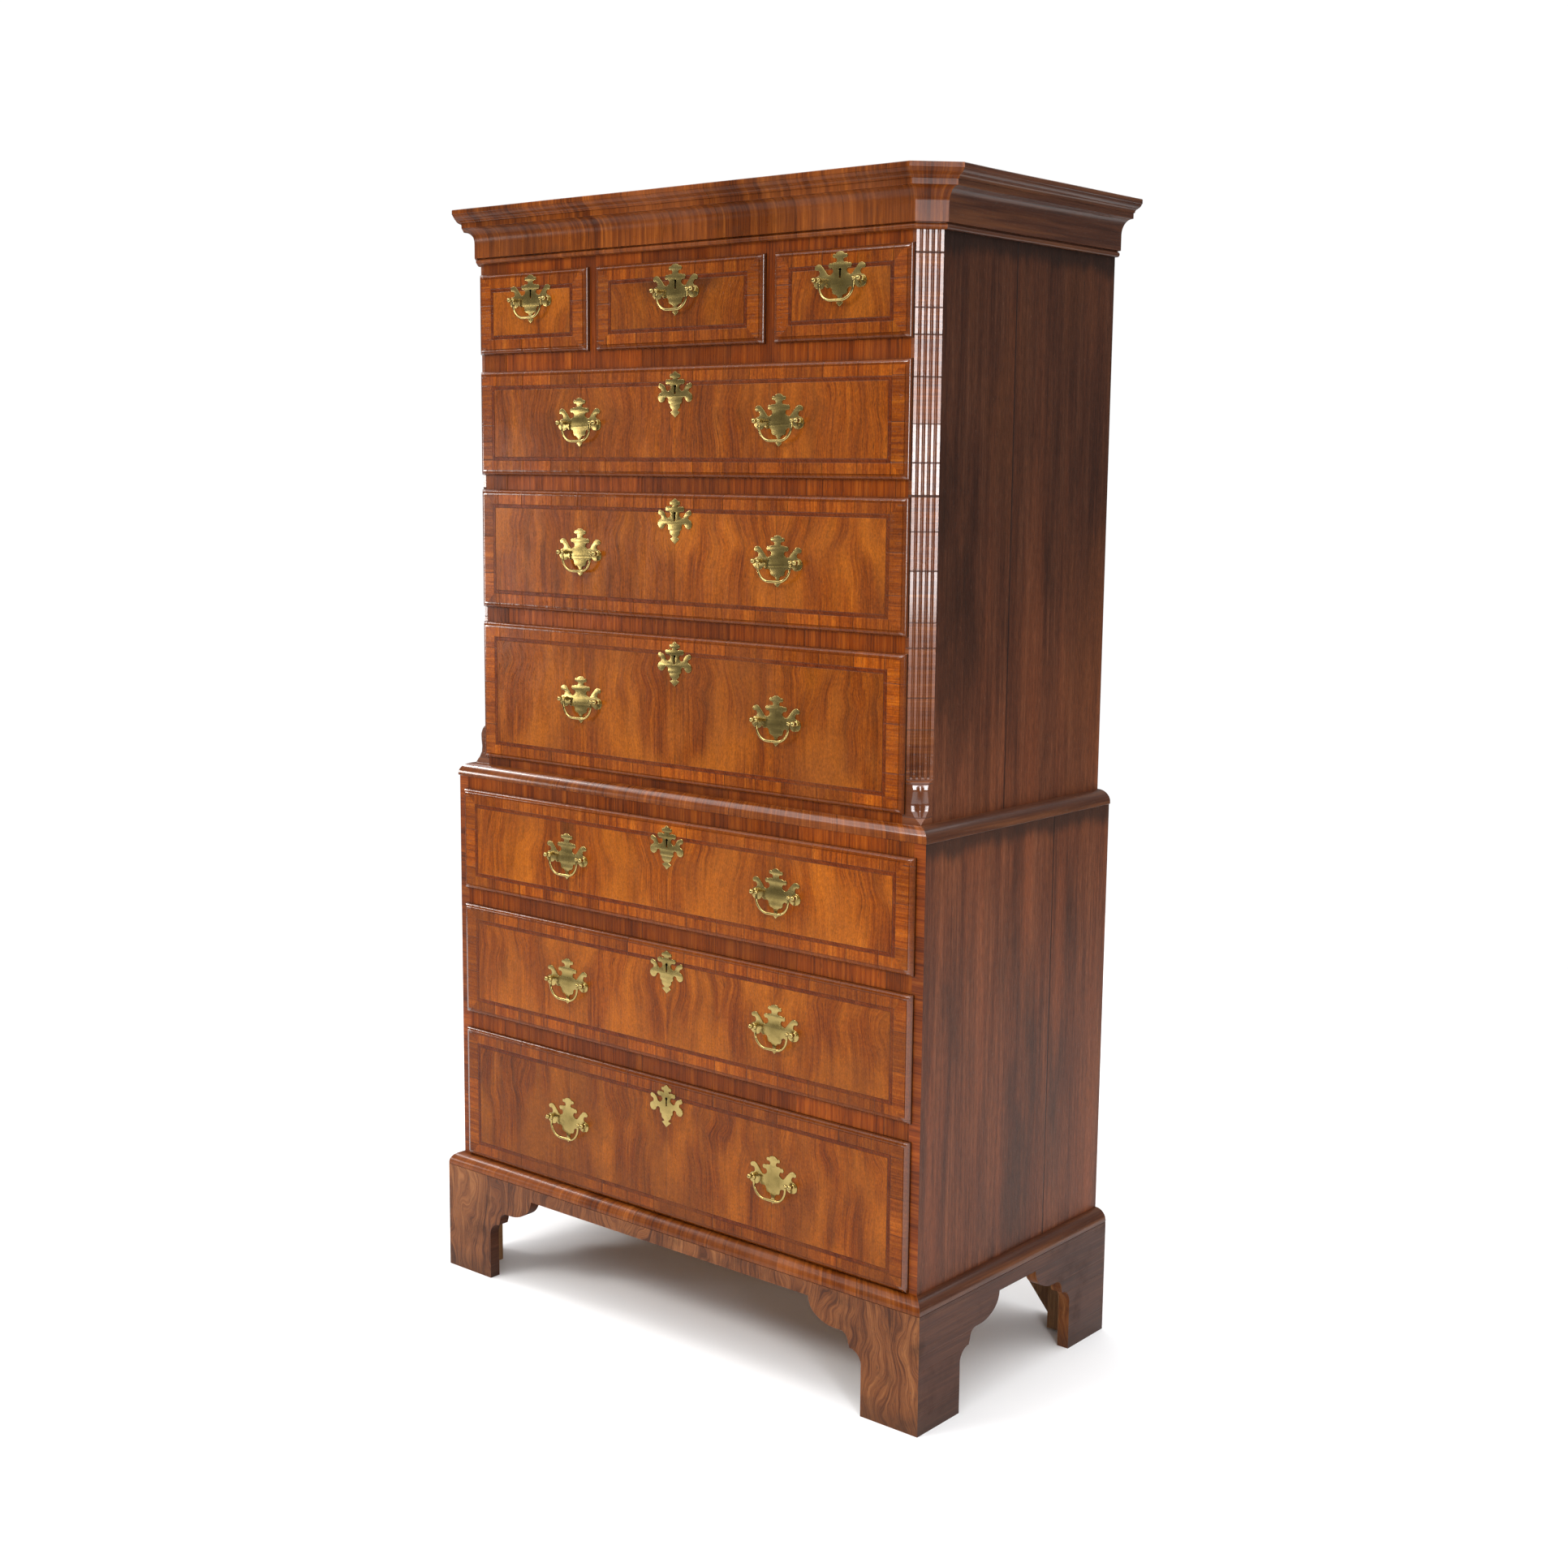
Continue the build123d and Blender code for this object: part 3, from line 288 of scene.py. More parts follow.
def cross_veneer(f, across, along, deep, block, tones, seed):
    """Veneer laid across the work in short blocks: each block has a tone of its own, and the joints
    between blocks show as thin dark lines. Gives its colour and its relief."""
    uneven = f.noise(f.join(across, 0.0, seed), (0.6 / block, 1, 1), 2.0)
    uneven = f.scaled(uneven, block * 0.8, across)
    count = f.work("FLOOR", f.work("DIVIDE", uneven, block))
    tone = f.chance(count, seed)
    shift = f.times(tone, 3.0)
    colour, relief = walnut_grain(f, across, along, f.plus(deep, shift), tones)
    bright = f.scaled(tone, 0.50, 0.76)
    colour = f.shade(colour, bright)
    edge = f.work("FRACT", f.work("DIVIDE", uneven, block))
    edge = f.least(edge, f.less(1.0, edge))
    crack = f.between(edge, JOINT_WIDTH / block, 0.0)
    colour = f.stain(colour, crack, 0.75, (0.035, 0.010, 0.003))
    return colour, f.less(relief, f.times(crack, 1.6))


def side_finish(name, face_x, seam_y, ceiling, seed):
    """Stained boards on the outer faces, rail veneer on the front edges and bare wood inside. The
    glued joint is a dark line down the side, and the wood is darker in a ragged band just under the
    moulding above."""
    f = Finish(name)
    _, normal_y, _ = f.split(f.add("NewGeometry", {}, "Normal"))
    outside = f.over(f.size(f.x), face_x)
    front = f.under(normal_y, FACES_FRONT)
    side = f.times(f.work("SIGN", f.x), seed)
    board = f.over(f.y, seam_y)
    deep = f.scaled(board, 5.0, side)
    stained, relief = walnut_grain(f, f.y, f.z, deep, STAINED_TONES)
    on_board = f.join(f.y, f.z, deep)
    cloud = f.noise(on_board, (5.5, 1.6, 1), 4.0, 0.6)
    stained = f.stain(stained, f.between(cloud, 0.50, 0.72), 0.5, (0.105, 0.033, 0.0105))
    stained = f.stain(stained, f.between(cloud, 0.52, 0.32), 0.85, (0.020, 0.0080, 0.0046))
    flame = f.patches(on_board, (26, 1.5, 1), 0.46, 0.68, 4.0, 0.6)
    stained = f.stain(stained, flame, 0.38, (0.125, 0.0360, 0.0135))
    weathered = f.scaled(f.noise(on_board, (420, 70, 1), 3.0), 1.10, 0.40)
    stained = f.shade(stained, weathered)
    # The wood is made darker in a ragged band just under the moulding above.
    band_under_moulding = f.scaled(f.noise(f.join(f.y, 0.0, seed), (34, 1, 1), 4.0, 0.7), 0.050, f.z)
    band_under_moulding = f.between(band_under_moulding, ceiling - 0.012, ceiling + 0.012)
    stained = f.stain(stained, band_under_moulding, 0.8, (0.014, 0.0065, 0.0042))
    # The boards are made lighter and redder towards the bottom.
    fade = f.scaled(f.between(f.z, 1.45, 0.70), 1.05, 0.85)
    fade = f.join(fade, f.work("POWER", fade, 0.85), f.work("POWER", fade, 0.62))
    stained = f.tint(1.0, stained, fade, "MULTIPLY")
    scuffs = f.patches(f.join(f.y, f.z, 7.0), (260, 90, 1), 0.70, 0.78, 2.0)
    stained = f.stain(stained, scuffs, 0.35, (0.22, 0.12, 0.08))
    wander = f.scaled(f.noise(f.join(0.0, f.z, seed), (1, 7, 1), 2.0), 0.0012, seam_y - 0.0006)
    gap = f.size(f.less(f.y, wander))
    seam = f.between(gap, 0.0016, 0.0006)
    stained = f.stain(stained, seam, 0.85, (0.008, 0.003, 0.002))
    bare, _ = walnut_grain(f, f.y, f.z, 3.0, BARE_TONES)
    rail, _ = cross_veneer(f, f.z, f.x, 2.0, 0.085, RAIL_TONES, seed)
    colour = f.tint(outside, bare, stained)
    colour = f.tint(front, colour, rail)
    relief = f.less(relief, f.times(seam, 4.0))
    sheen = f.scaled(cloud, 0.22, 0.30)
    return f.finish(colour, sheen, relief, 0.00028, coat=0.04, coat_roughness=0.25)


# How far out the bare wood goes, the glued joint's y and the height of the moulding above, for each case.
CASE_SIDES = {"lower_sides": (0.480, 0.101, 0.873), "upper_sides": (0.458, -0.006, 1.717)}
for node, (face_x, seam_y, ceiling) in CASE_SIDES.items():
    stain = side_finish(node + "_stain", face_x, seam_y, ceiling, 1.7)
    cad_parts[node].material_slots[0].material = stain

# ------------------------------------------------------------------ rails, boards and backs
# Pine or oak rails faced with red-brown walnut veneer, its grain upright. Behind them are plain dust
# boards, runners and upright back boards, none of them polished.
DUST_FROM_Z = 1.785


def frame_finish(name, seed):
    """Cross-grain veneer on what faces forward, bare wood on the rest, dusty on the very top."""
    f = Finish(name)
    _, normal_y, _ = f.split(f.add("NewGeometry", {}, "Normal"))
    front = f.under(normal_y, FACES_FRONT)
    rail, relief = cross_veneer(f, f.x, f.z, 1.0, 0.16, RAIL_TONES, seed)
    bare, _ = walnut_grain(f, f.y, f.x, 4.0, BARE_TONES)
    bare = f.stain(bare, f.over(f.z, DUST_FROM_Z), 0.65, (0.075, 0.038, 0.020))
    colour = f.tint(front, bare, rail)
    dirt = f.patches(f.coords, (14, 14, 14), 0.35, 0.75, 4.0, 0.6)
    colour = f.stain(colour, dirt, 0.25, (0.055, 0.021, 0.008))
    rough = f.pick(front, 0.75, f.scaled(dirt, 0.12, 0.30))
    return f.finish(colour, rough, relief, 0.00025, coat=0.02, coat_roughness=0.2, shine=0.09)


for node, seed in (("lower_frame", 3.0), ("upper_frame", 8.0)):
    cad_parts[node].material_slots[0].material = frame_finish(node + "_veneer", seed)


def bare_finish(name, across, along, joints=()):
    """Unpolished softwood that has aged brown. Each of the joints is (lowest z, distance of the joint
    from the middle), and the boards on either side of it differ in tone."""
    f = Finish(name)
    place = {"x": f.x, "y": f.y, "z": f.z}
    board, gap = 0.0, 1.0
    for lowest, reach in joints:
        above = f.over(f.z, lowest)
        number = f.plus(f.over(f.x, reach), f.over(f.x, -reach))
        board = f.pick(above, board, f.scaled(number, 3.0, lowest * 10))
        gap = f.pick(above, gap, f.size(f.less(f.size(f.x), reach)))
        gap = f.least(gap, f.size(f.less(f.z, lowest)))
    bare, relief = walnut_grain(f, place[across], place[along], board, BARE_TONES)
    tone = f.scaled(f.chance(board, 2.0), 0.35, 0.82)
    bare = f.shade(bare, tone)
    dirt = f.patches(f.coords, (8, 8, 8), 0.35, 0.75, 5.0, 0.6)
    bare = f.stain(bare, dirt, 0.5, (0.10, 0.050, 0.024))
    sawn = f.noise(f.coords, (6, 6, 460), 2.0)
    crack = f.between(gap, 0.0022, 0.0008)
    bare = f.stain(bare, crack, 0.85, (0.010, 0.006, 0.003))
    relief = f.plus(relief, f.times(sawn, 0.5))
    relief = f.less(relief, f.times(crack, 3.0))
    return f.finish(bare, 0.78, relief, 0.0004)


BACK_JOINTS = ((0.0, 0.1597), (0.871, 0.1523))
back_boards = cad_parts["back_boards"]
back_boards.material_slots[0].material = bare_finish("back_boards_bare", "x", "z", BACK_JOINTS)
drawer_lining = bare_finish("drawer_lining_bare", "z", "y")
for node in [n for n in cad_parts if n.endswith("_box")]:
    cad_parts[node].material_slots[0].material = drawer_lining

# ------------------------------------------------------------------ bracket base
# Bracket feet sawn from solid and faced at the front with figured walnut, mitred at the corners. The
# sides are stained dark. The frame and the glue blocks behind them are bare.
FIGURED_TONES = [(0.28, (0.050, 0.0136, 0.0040)), (0.44, (0.126, 0.0372, 0.0100)),
                 (0.60, (0.194, 0.0651, 0.0185)), (0.78, (0.266, 0.1023, 0.0325))]
# Only what lies in front of the first or outside the second was ever polished.
BASE_SHOWN_Y, BASE_SHOWN_X = -0.2335, 0.4895


def base_finish():
    """Figured walnut in front and stain at the sides, grimy and scuffed near the floor, with bare wood
    on what doesn't show."""
    f = Finish("bracket_base_walnut")
    _, normal_y, _ = f.split(f.add("NewGeometry", {}, "Normal"))
    front = f.under(normal_y, FACES_FRONT)
    shown = f.work("MAXIMUM", f.under(f.y, BASE_SHOWN_Y), f.over(f.size(f.x), BASE_SHOWN_X))
    warp = f.noise(f.join(f.x, f.z, 2.0), (13, 9, 1), 2.0, 0.5)
    across = f.scaled(warp, 0.10, f.x)
    figured, relief = walnut_grain(f, across, f.times(f.z, 1.6), 6.0, FIGURED_TONES)
    stained, _ = walnut_grain(f, f.z, f.y, 3.0, STAINED_TONES)
    bare, _ = walnut_grain(f, f.x, f.z, 9.0, BARE_TONES)
    polished = f.tint(front, stained, figured)
    grime = f.patches(f.coords, (20, 20, 20), 0.45, 0.8, 5.0, 0.65)
    polished = f.stain(polished, grime, 0.65, (0.028, 0.012, 0.007))
    low = f.between(f.z, 0.05, 0.0)
    polished = f.stain(polished, low, 0.45, (0.030, 0.014, 0.008))
    colour = f.tint(shown, f.tint(0.4, bare, (0.06, 0.03, 0.015, 1)), polished)
    rough = f.scaled(grime, 0.25, 0.36)
    return f.finish(colour, rough, relief, 0.0003, coat=0.03, coat_roughness=0.3)


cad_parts["bracket_base"].material_slots[0].material = base_finish()

# ------------------------------------------------------------------ cornice and case mouldings
# Mitred lengths planed to a profile. The fronts and cants are faced with short cross-grain pieces of
# walnut, which have shrunk and split; the returns down the sides are solid, stained, with long grain.
SPLIT_TONES = [(0.26, (0.058, 0.0114, 0.0014)), (0.44, (0.112, 0.0235, 0.0022)),
               (0.60, (0.172, 0.0415, 0.0042)), (0.80, (0.270, 0.0760, 0.0100))]


def grid_quads(rows, columns):
    """Quads over a grid of rows by columns of points, counted row by row."""
    start = (np.arange(rows - 1)[:, None] * columns + np.arange(columns - 1)[None, :]).reshape(-1)
    return np.stack([start, start + 1, start + columns + 1, start + columns], axis=1)


def end_rings(rows, columns):
    """The faces that close a grid at its first column and at its last."""
    first = np.arange(rows) * columns
    return [first.tolist(), (first + columns - 1)[::-1].tolist()]


def make_piece(name, parts, finish, body, sharp=28.0, weld=False):
    """Joins parts, each (points, uv, faces), into one mesh object that rides on a body. Edges sharper
    than so many degrees stay sharp, and a weld merges seams and poles and turns the faces outwards."""
    shift, points, uvs, faces = 0, [], [], []
    for place, uv, rings in parts:
        points.append(place.reshape(-1, 3))
        uvs.append(uv.reshape(-1, 2))
        faces += [np.add(ring, shift).tolist() for ring in rings]
        shift += len(points[-1])
    mesh = bpy.data.meshes.new(name)
    mesh.from_pydata(np.concatenate(points).tolist(), [], faces)
    layer = mesh.uv_layers.new(name="UVMap")
    corner = np.zeros(len(mesh.loops), np.int32)
    mesh.loops.foreach_get("vertex_index", corner)
    layer.data.foreach_set("uv", np.concatenate(uvs)[corner].astype(np.float32).ravel())
    mesh.materials.append(finish)
    if weld:
        welded = bmesh.new()
        welded.from_mesh(mesh)
        bmesh.ops.remove_doubles(welded, verts=welded.verts, dist=1e-6)
        bmesh.ops.recalc_face_normals(welded, faces=welded.faces)
        welded.to_mesh(mesh)
        welded.free()
    mesh.shade_smooth()
    mesh.set_sharp_from_angle(angle=math.radians(sharp))
    made = bpy.data.objects.new(name, mesh)
    scene.collection.objects.link(made)
    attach(made, body)
    return made


def moulding_length(profile, projection, inner, outer, stations, wobble, seed):
    """A profile carried along a mitred length, closed at its ends. The point at share s of the length
    and at profile point (out, z) is the wall line at s plus (outer minus inner corner) times out over
    projection, and each station is pushed in by a slow wave of the size of wobble. UV runs along it
    and round the profile."""
    inner, outer = np.array(inner, float), np.array(outer, float)
    share = np.linspace(0, 1, stations)
    out, height = np.array(profile, float).T
    reach = (outer - inner) / projection
    start = inner[0] + out[:, None] * reach[0]
    end = inner[1] + out[:, None] * reach[1]
    plan = start[:, None, :] + (end - start)[:, None, :] * share[None, :, None]
    along = inner[1] - inner[0]
    length = np.hypot(*along)
    facing = np.array([along[1], -along[0]]) / length
    wave = np.sin(share * length * 9.0 + seed) + 0.6 * np.sin(share * length * 23.0 + 2 * seed) - 1.6
    fade = np.minimum(1, np.minimum(share, 1 - share) * 8)
    plan += (wave * fade * wobble)[None, :, None] * facing * (out > 0.001)[:, None, None]
    heights = np.repeat(height[:, None], stations, axis=1) + (wave * fade * wobble * 0.5)[None, :]
    place = np.concatenate([plan, heights[..., None]], axis=2)
    girth = np.concatenate([[0], np.cumsum(np.hypot(np.diff(out), np.diff(height)))])
    shift = np.repeat(plan.mean(0)[None, :, :] @ (along / length), len(out), axis=0)
    uv = np.stack([shift + seed * 3.1, np.repeat(girth[:, None], stations, axis=1)], axis=2)
    return place, uv, grid_quads(len(out), stations).tolist() + end_rings(len(out), stations)


def curve_between(start, end, bulge, count):
    """Points of an arc from start to end. bulge is its rise over half its chord, positive to the left."""
    a, b = np.array(start, float), np.array(end, float)
    chord = b - a
    half = np.hypot(*chord) / 2
    radius = half * (1 + bulge ** 2) / (2 * abs(bulge))
    left = np.array([-chord[1], chord[0]]) / (2 * half)
    centre = (a + b) / 2 - left * np.sign(bulge) * (radius - half * abs(bulge))
    first = np.arctan2(*(a - centre)[::-1])
    last = np.arctan2(*(b - centre)[::-1])
    sweep = (last - first + math.pi) % (2 * math.pi) - math.pi
    angles = first + sweep * np.linspace(0, 1, count)
    return centre + radius * np.stack([np.cos(angles), np.sin(angles)], axis=1)


def split_veneer_finish(name, block, seed, wax=0.15, glow=1.0):
    """Cross-grain veneer on a moulding, read along and round it, with open splits and worn wax."""
    f = Finish(name)
    u, v, _ = f.split(f.add("TexCoord", {}, "UV"))
    colour, relief = cross_veneer(f, u, v, 1.0, block, SPLIT_TONES, seed)
    stain = f.patches(f.join(u, v, seed), (7, 22, 1), 0.52, 0.74, 5.0, 0.65)
    colour = f.stain(colour, stain, 0.6, (0.060, 0.018, 0.006))
    redder = f.patches(f.join(u, v, seed + 3), (3, 4, 1), 0.4, 0.65, 3.0)
    colour = f.stain(colour, redder, 0.5, (0.24, 0.070, 0.020))
    fine = f.noise(f.join(u, v, seed), (150, 3, 1), 2.0)
    split = f.between(fine, 0.70, 0.74)
    colour = f.stain(colour, split, 0.7, (0.04, 0.012, 0.004))
    relief = f.less(relief, f.times(split, 0.8))
    rough = f.scaled(f.noise(f.join(u, v, 5.0), (40, 40, 1), 3.0), 0.22, 0.20 * glow)
    return f.finish(colour, rough, relief, 0.0002, coat=wax, coat_roughness=0.12, shine=0.11)


def long_grain_finish(name, seed):
    """Solid stained walnut with its grain along the moulding, in warmer and duller patches."""
    f = Finish(name)
    u, v, _ = f.split(f.add("TexCoord", {}, "UV"))
    colour, relief = walnut_grain(f, v, u, seed, STAINED_TONES)
    warm = f.patches(f.join(u, v, seed), (2.5, 60, 1), 0.45, 0.7, 3.0)
    colour = f.stain(colour, warm, 0.5, (0.17, 0.060, 0.020))
    rough = f.scaled(f.noise(f.join(u, v, 2.0), (12, 60, 1), 3.0), 0.22, 0.22)
    return f.finish(colour, rough, relief, 0.00018, coat=0.42, coat_roughness=0.14, shine=0.12)


cornice_veneer = split_veneer_finish("cornice_veneer", 0.13, 4.0, 0.03)
cant_veneer = split_veneer_finish("cornice_cant_veneer", 0.30, 6.0, 0.10, 1.6)
side_moulding_stain = long_grain_finish("side_moulding_stain", 2.0)


def hollow(out, z, reach, rise, count=14):
    """A cove as a quarter of an oval: it leaves the flat below it upright and ends level."""
    angle = np.linspace(0, math.pi / 2, count)
    return np.stack([out + reach * (1 - np.cos(angle)), z + rise * np.sin(angle)], axis=1)


BACK_Y = cad_high[1]
UPPER_HALF, UPPER_FRONT_Y, CANT_LEG = 0.467, -0.216, 0.027
LOWER_HALF, LOWER_FRONT_Y, WAIST_Z = 0.489, -0.233, 0.871
CORNICE_BOTTOM, CORNICE_OUT = 1.7165, 0.045
cornice_profile = np.concatenate([
    [(0.0, CORNICE_BOTTOM)], curve_between((0.0045, CORNICE_BOTTOM), (0.0045, 1.7245), -0.9, 9),
    [(0.0045, 1.7252), (0.0100, 1.7258)], hollow(0.0100, 1.7485, 0.0178, 0.0232),
    [(0.0300, 1.7720), (0.0302, 1.7723), (0.0302, 1.7800)],
    curve_between((0.0322, 1.7804), (0.0372, 1.7858), 0.35, 6),
    curve_between((0.0374, 1.7862), (0.0440, 1.7924), -0.22, 6),
    [(CORNICE_OUT, 1.7930), (CORNICE_OUT, 1.7990), (0.0440, 1.8000), (0.0, 1.8000)]])

turn = CORNICE_OUT * math.tan(math.radians(22.5))
front_in = (UPPER_HALF - CANT_LEG, UPPER_FRONT_Y)
front_out = (front_in[0] + turn, UPPER_FRONT_Y - CORNICE_OUT)
side_in = (UPPER_HALF, UPPER_FRONT_Y + CANT_LEG)
side_out = (UPPER_HALF + CORNICE_OUT, side_in[1] - turn)


def mirrored(*corners):
    """Corners reflected to the left half of the chest, in reverse order."""
    return tuple((-x, y) for x, y in corners[::-1])


def cornice_length(name, inner, outer, finish, stations, wobble, seed):
    """One mitred length of the cornice, from its two corners at the wall and its two outer ones."""
    length = moulding_length(cornice_profile, CORNICE_OUT, inner, outer, stations, wobble, seed)
    return make_piece(name, [length], finish, "case")


WOBBLE = 0.0002
cornice_front = cornice_length("cornice_front", (*mirrored(front_in), front_in),
                               (*mirrored(front_out), front_out), cornice_veneer, 90, WOBBLE, 1.0)
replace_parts(cornice_front, "cornice")
cant_in, cant_out = (front_in, side_in), (front_out, side_out)
cornice_length("cornice_cant_right", cant_in, cant_out, cant_veneer, 8, 0, 2.0)
cornice_length("cornice_cant_left", mirrored(*cant_in), mirrored(*cant_out), cant_veneer, 8, 0, 3.0)
return_in, return_out = (side_in, (UPPER_HALF, BACK_Y)), (side_out, (side_out[0], BACK_Y))
cornice_length("cornice_side_right", return_in, return_out, side_moulding_stain, 50, WOBBLE, 4.0)
cornice_length("cornice_side_left", mirrored(*return_in), mirrored(*return_out), side_moulding_stain, 50,
               WOBBLE, 5.0)


def thumb_profile(out, height, z0, square):
    """A rounded moulding on a small square edge: a quarter turn from the edge in to the wall."""
    angle = np.linspace(0, math.pi / 2, 14)
    rise, reach = height - square, out * 0.93
    arc = np.stack([out - reach * (1 - np.cos(angle)), z0 + square + rise * np.sin(angle)], axis=1)
    return np.concatenate([[(0.0, z0), (out - 0.0008, z0), (out, z0 + 0.0008)], arc, [(0.0, z0 + height)]])


waist_veneer = split_veneer_finish("waist_veneer", 0.19, 11.0, 0.9, 0.7)
base_veneer = split_veneer_finish("base_moulding_veneer", 0.15, 17.0)
# Each moulding's wall corner, reach in front and at the sides, lowest z, height, square edge, veneer.
CASE_RUNS = {
    "waist": ((UPPER_HALF, UPPER_FRONT_Y), 0.019, 0.024, WAIST_Z, 0.022, 0.0035, waist_veneer),
    "base": ((LOWER_HALF, LOWER_FRONT_Y), 0.020, 0.020, 0.183, 0.021, 0.0020, base_veneer)}
for name, (inside, front_reach, side_reach, z0, height, square, veneer) in CASE_RUNS.items():
    corner = (inside[0] + side_reach, inside[1] - front_reach)
    length = moulding_length(thumb_profile(front_reach, height, z0, square), front_reach,
                             (*mirrored(inside), inside), (*mirrored(corner), corner), 110, 0.0003, 3.0)
    front = make_piece(name + "_moulding_front", [length], veneer, "case")
    if name == "waist":
        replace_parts(front, "case_mouldings")
    profile = thumb_profile(side_reach, height, z0, square)
    right_ends = ((inside, (inside[0], BACK_Y)), (corner, (corner[0], BACK_Y)))
    left_ends = [mirrored(*pair) for pair in right_ends]
    for side, ends, seed in (("right", right_ends, 6.0), ("left", left_ends, 4.0)):
        length = moulding_length(profile, side_reach, *ends, 60, WOBBLE, seed)
        make_piece(f"{name}_moulding_{side}", [length], side_moulding_stain, "case")

# ------------------------------------------------------------------ canted corners
# Corner posts with their outer corner planed off, faced with narrow bands of cross-grain walnut and
# then fluted. Four flutes run up to the cornice and stop square above a carved drop at the foot.
POST_TOP, STOP_BOTTOM, STOP_TOP = 1.780, 0.893, 0.956
POST_BACK_Y, POST_INNER_X, STILE_INNER_X, STILE_EDGE_X = -0.171, 0.447, 0.434, 0.4398
RIDGE_RISE, RIDGE_WIDTH, BAND_HEIGHT = 0.0022, 0.16, 0.055
FLUTE_PITCH, FLUTE_RADIUS, FLUTE_LIFT = 0.0082, 0.0025, 0.0004


def stop_leg(z):
    """How much of the corner is planed off at each height: nothing at the waist, then the carved
    drop's two swellings, then the whole cant."""
    t = np.clip((z - STOP_BOTTOM) / (STOP_TOP - STOP_BOTTOM), 0, 1)
    knots = [0.0, 0.06, 0.16, 0.30, 0.45, 0.62, 0.78, 0.90, 0.96, 0.985, 1.0]
    legs = [0.0, 0.12, 0.40, 0.62, 0.67, 0.60, 0.54, 0.60, 0.74, 0.95, 1.0]
    return CANT_LEG * np.interp(t, knots, legs)


def canted_corner(side):
    """A plan outline carried up the post: the flat stile, the cant and the side edge. At each height
    the cant's leg comes from stop_leg, and between the flutes' ends its points are pushed in by the
    depth of a round flute, the radius times the cosine of the angle from the flute's middle. Down the
    carved drop the middle stands out as a ridge: a bell curve across, half a sine wave in height."""
    z = np.concatenate([np.linspace(WAIST_Z, STOP_BOTTOM, 3)[:-1],
                        np.linspace(STOP_BOTTOM, STOP_TOP, 44), [STOP_TOP + 0.0006, STOP_TOP + 0.003],
                        np.linspace(0.975, 1.71, 90), [POST_TOP]])
    legs = np.where(z < STOP_BOTTOM + 1e-6, 0.0, stop_leg(z))
    width = CANT_LEG * math.sqrt(2)
    edge_angle = math.acos(FLUTE_LIFT / FLUTE_RADIUS)
    angle = np.linspace(-edge_angle, edge_angle, 13)
    centres = (np.arange(4) - 1.5) * FLUTE_PITCH
    offset = (centres[:, None] + FLUTE_RADIUS * np.sin(angle)[None, :]).ravel()
    depth = np.tile(FLUTE_RADIUS * np.cos(angle) - FLUTE_LIFT, 4)
    rim = np.array([0.0, 0.15, 0.3, 0.45, 0.6, 0.8]) * (width / 2 + offset[0])
    offset = np.concatenate([rim - width / 2, offset, width / 2 - rim[::-1]])
    depth = np.concatenate([0 * rim, depth, 0 * rim])
    across = offset / width + 0.5
    fluted = (z > STOP_TOP + 0.001) & (z < CORNICE_BOTTOM)
    corner = np.stack([UPPER_HALF - legs, np.full_like(z, UPPER_FRONT_Y)], axis=1)
    edge = np.stack([np.full_like(z, UPPER_HALF), UPPER_FRONT_Y + legs], axis=1)
    cant = corner[None] + (edge - corner)[None] * across[:, None, None]
    inward = np.array([-1, 1]) / math.sqrt(2)
    ridge = np.exp(-((across - 0.5) / RIDGE_WIDTH) ** 2)
    up = np.clip((z - STOP_BOTTOM) / (STOP_TOP - 0.006 - STOP_BOTTOM), 0, 1)
    swell = RIDGE_RISE * np.sin(up * math.pi) * (legs > 0.004)
    push = depth[:, None] * fluted[None, :] - ridge[:, None] * swell[None, :]
    cant = cant + push[..., None] * inward
    stile = np.array([(STILE_INNER_X, POST_BACK_Y), (STILE_INNER_X, UPPER_FRONT_Y),
                      (STILE_EDGE_X, UPPER_FRONT_Y)])
    back = np.array([(UPPER_HALF, UPPER_FRONT_Y + CANT_LEG), (POST_INNER_X, UPPER_FRONT_Y + CANT_LEG),
                     (POST_INNER_X, POST_BACK_Y)])
    plan = np.concatenate([np.repeat(stile[:, None], len(z), 1), cant, np.repeat(back[:, None], len(z), 1)])
    plan = np.concatenate([plan, plan[:1]])
    plan[..., 0] *= side
    place = np.concatenate([plan, np.broadcast_to(z, plan.shape[:2])[..., None]], axis=2)
    girth = np.concatenate([[-0.06, -0.006, -0.0002], across * width,
                            width + np.array([0.0002, 0.02, 0.04, 0.06])])
    uv = np.stack([np.broadcast_to(z, plan.shape[:2]), np.repeat(girth[:, None], len(z), 1)], axis=2)
    if side > 0:
        place, uv = place[::-1], uv[::-1]
    # The outline's last point is its first again, so the ends leave it out.
    rows, columns = place.shape[:2]
    return place, uv, grid_quads(rows, columns).tolist() + end_rings(rows - 1, columns)


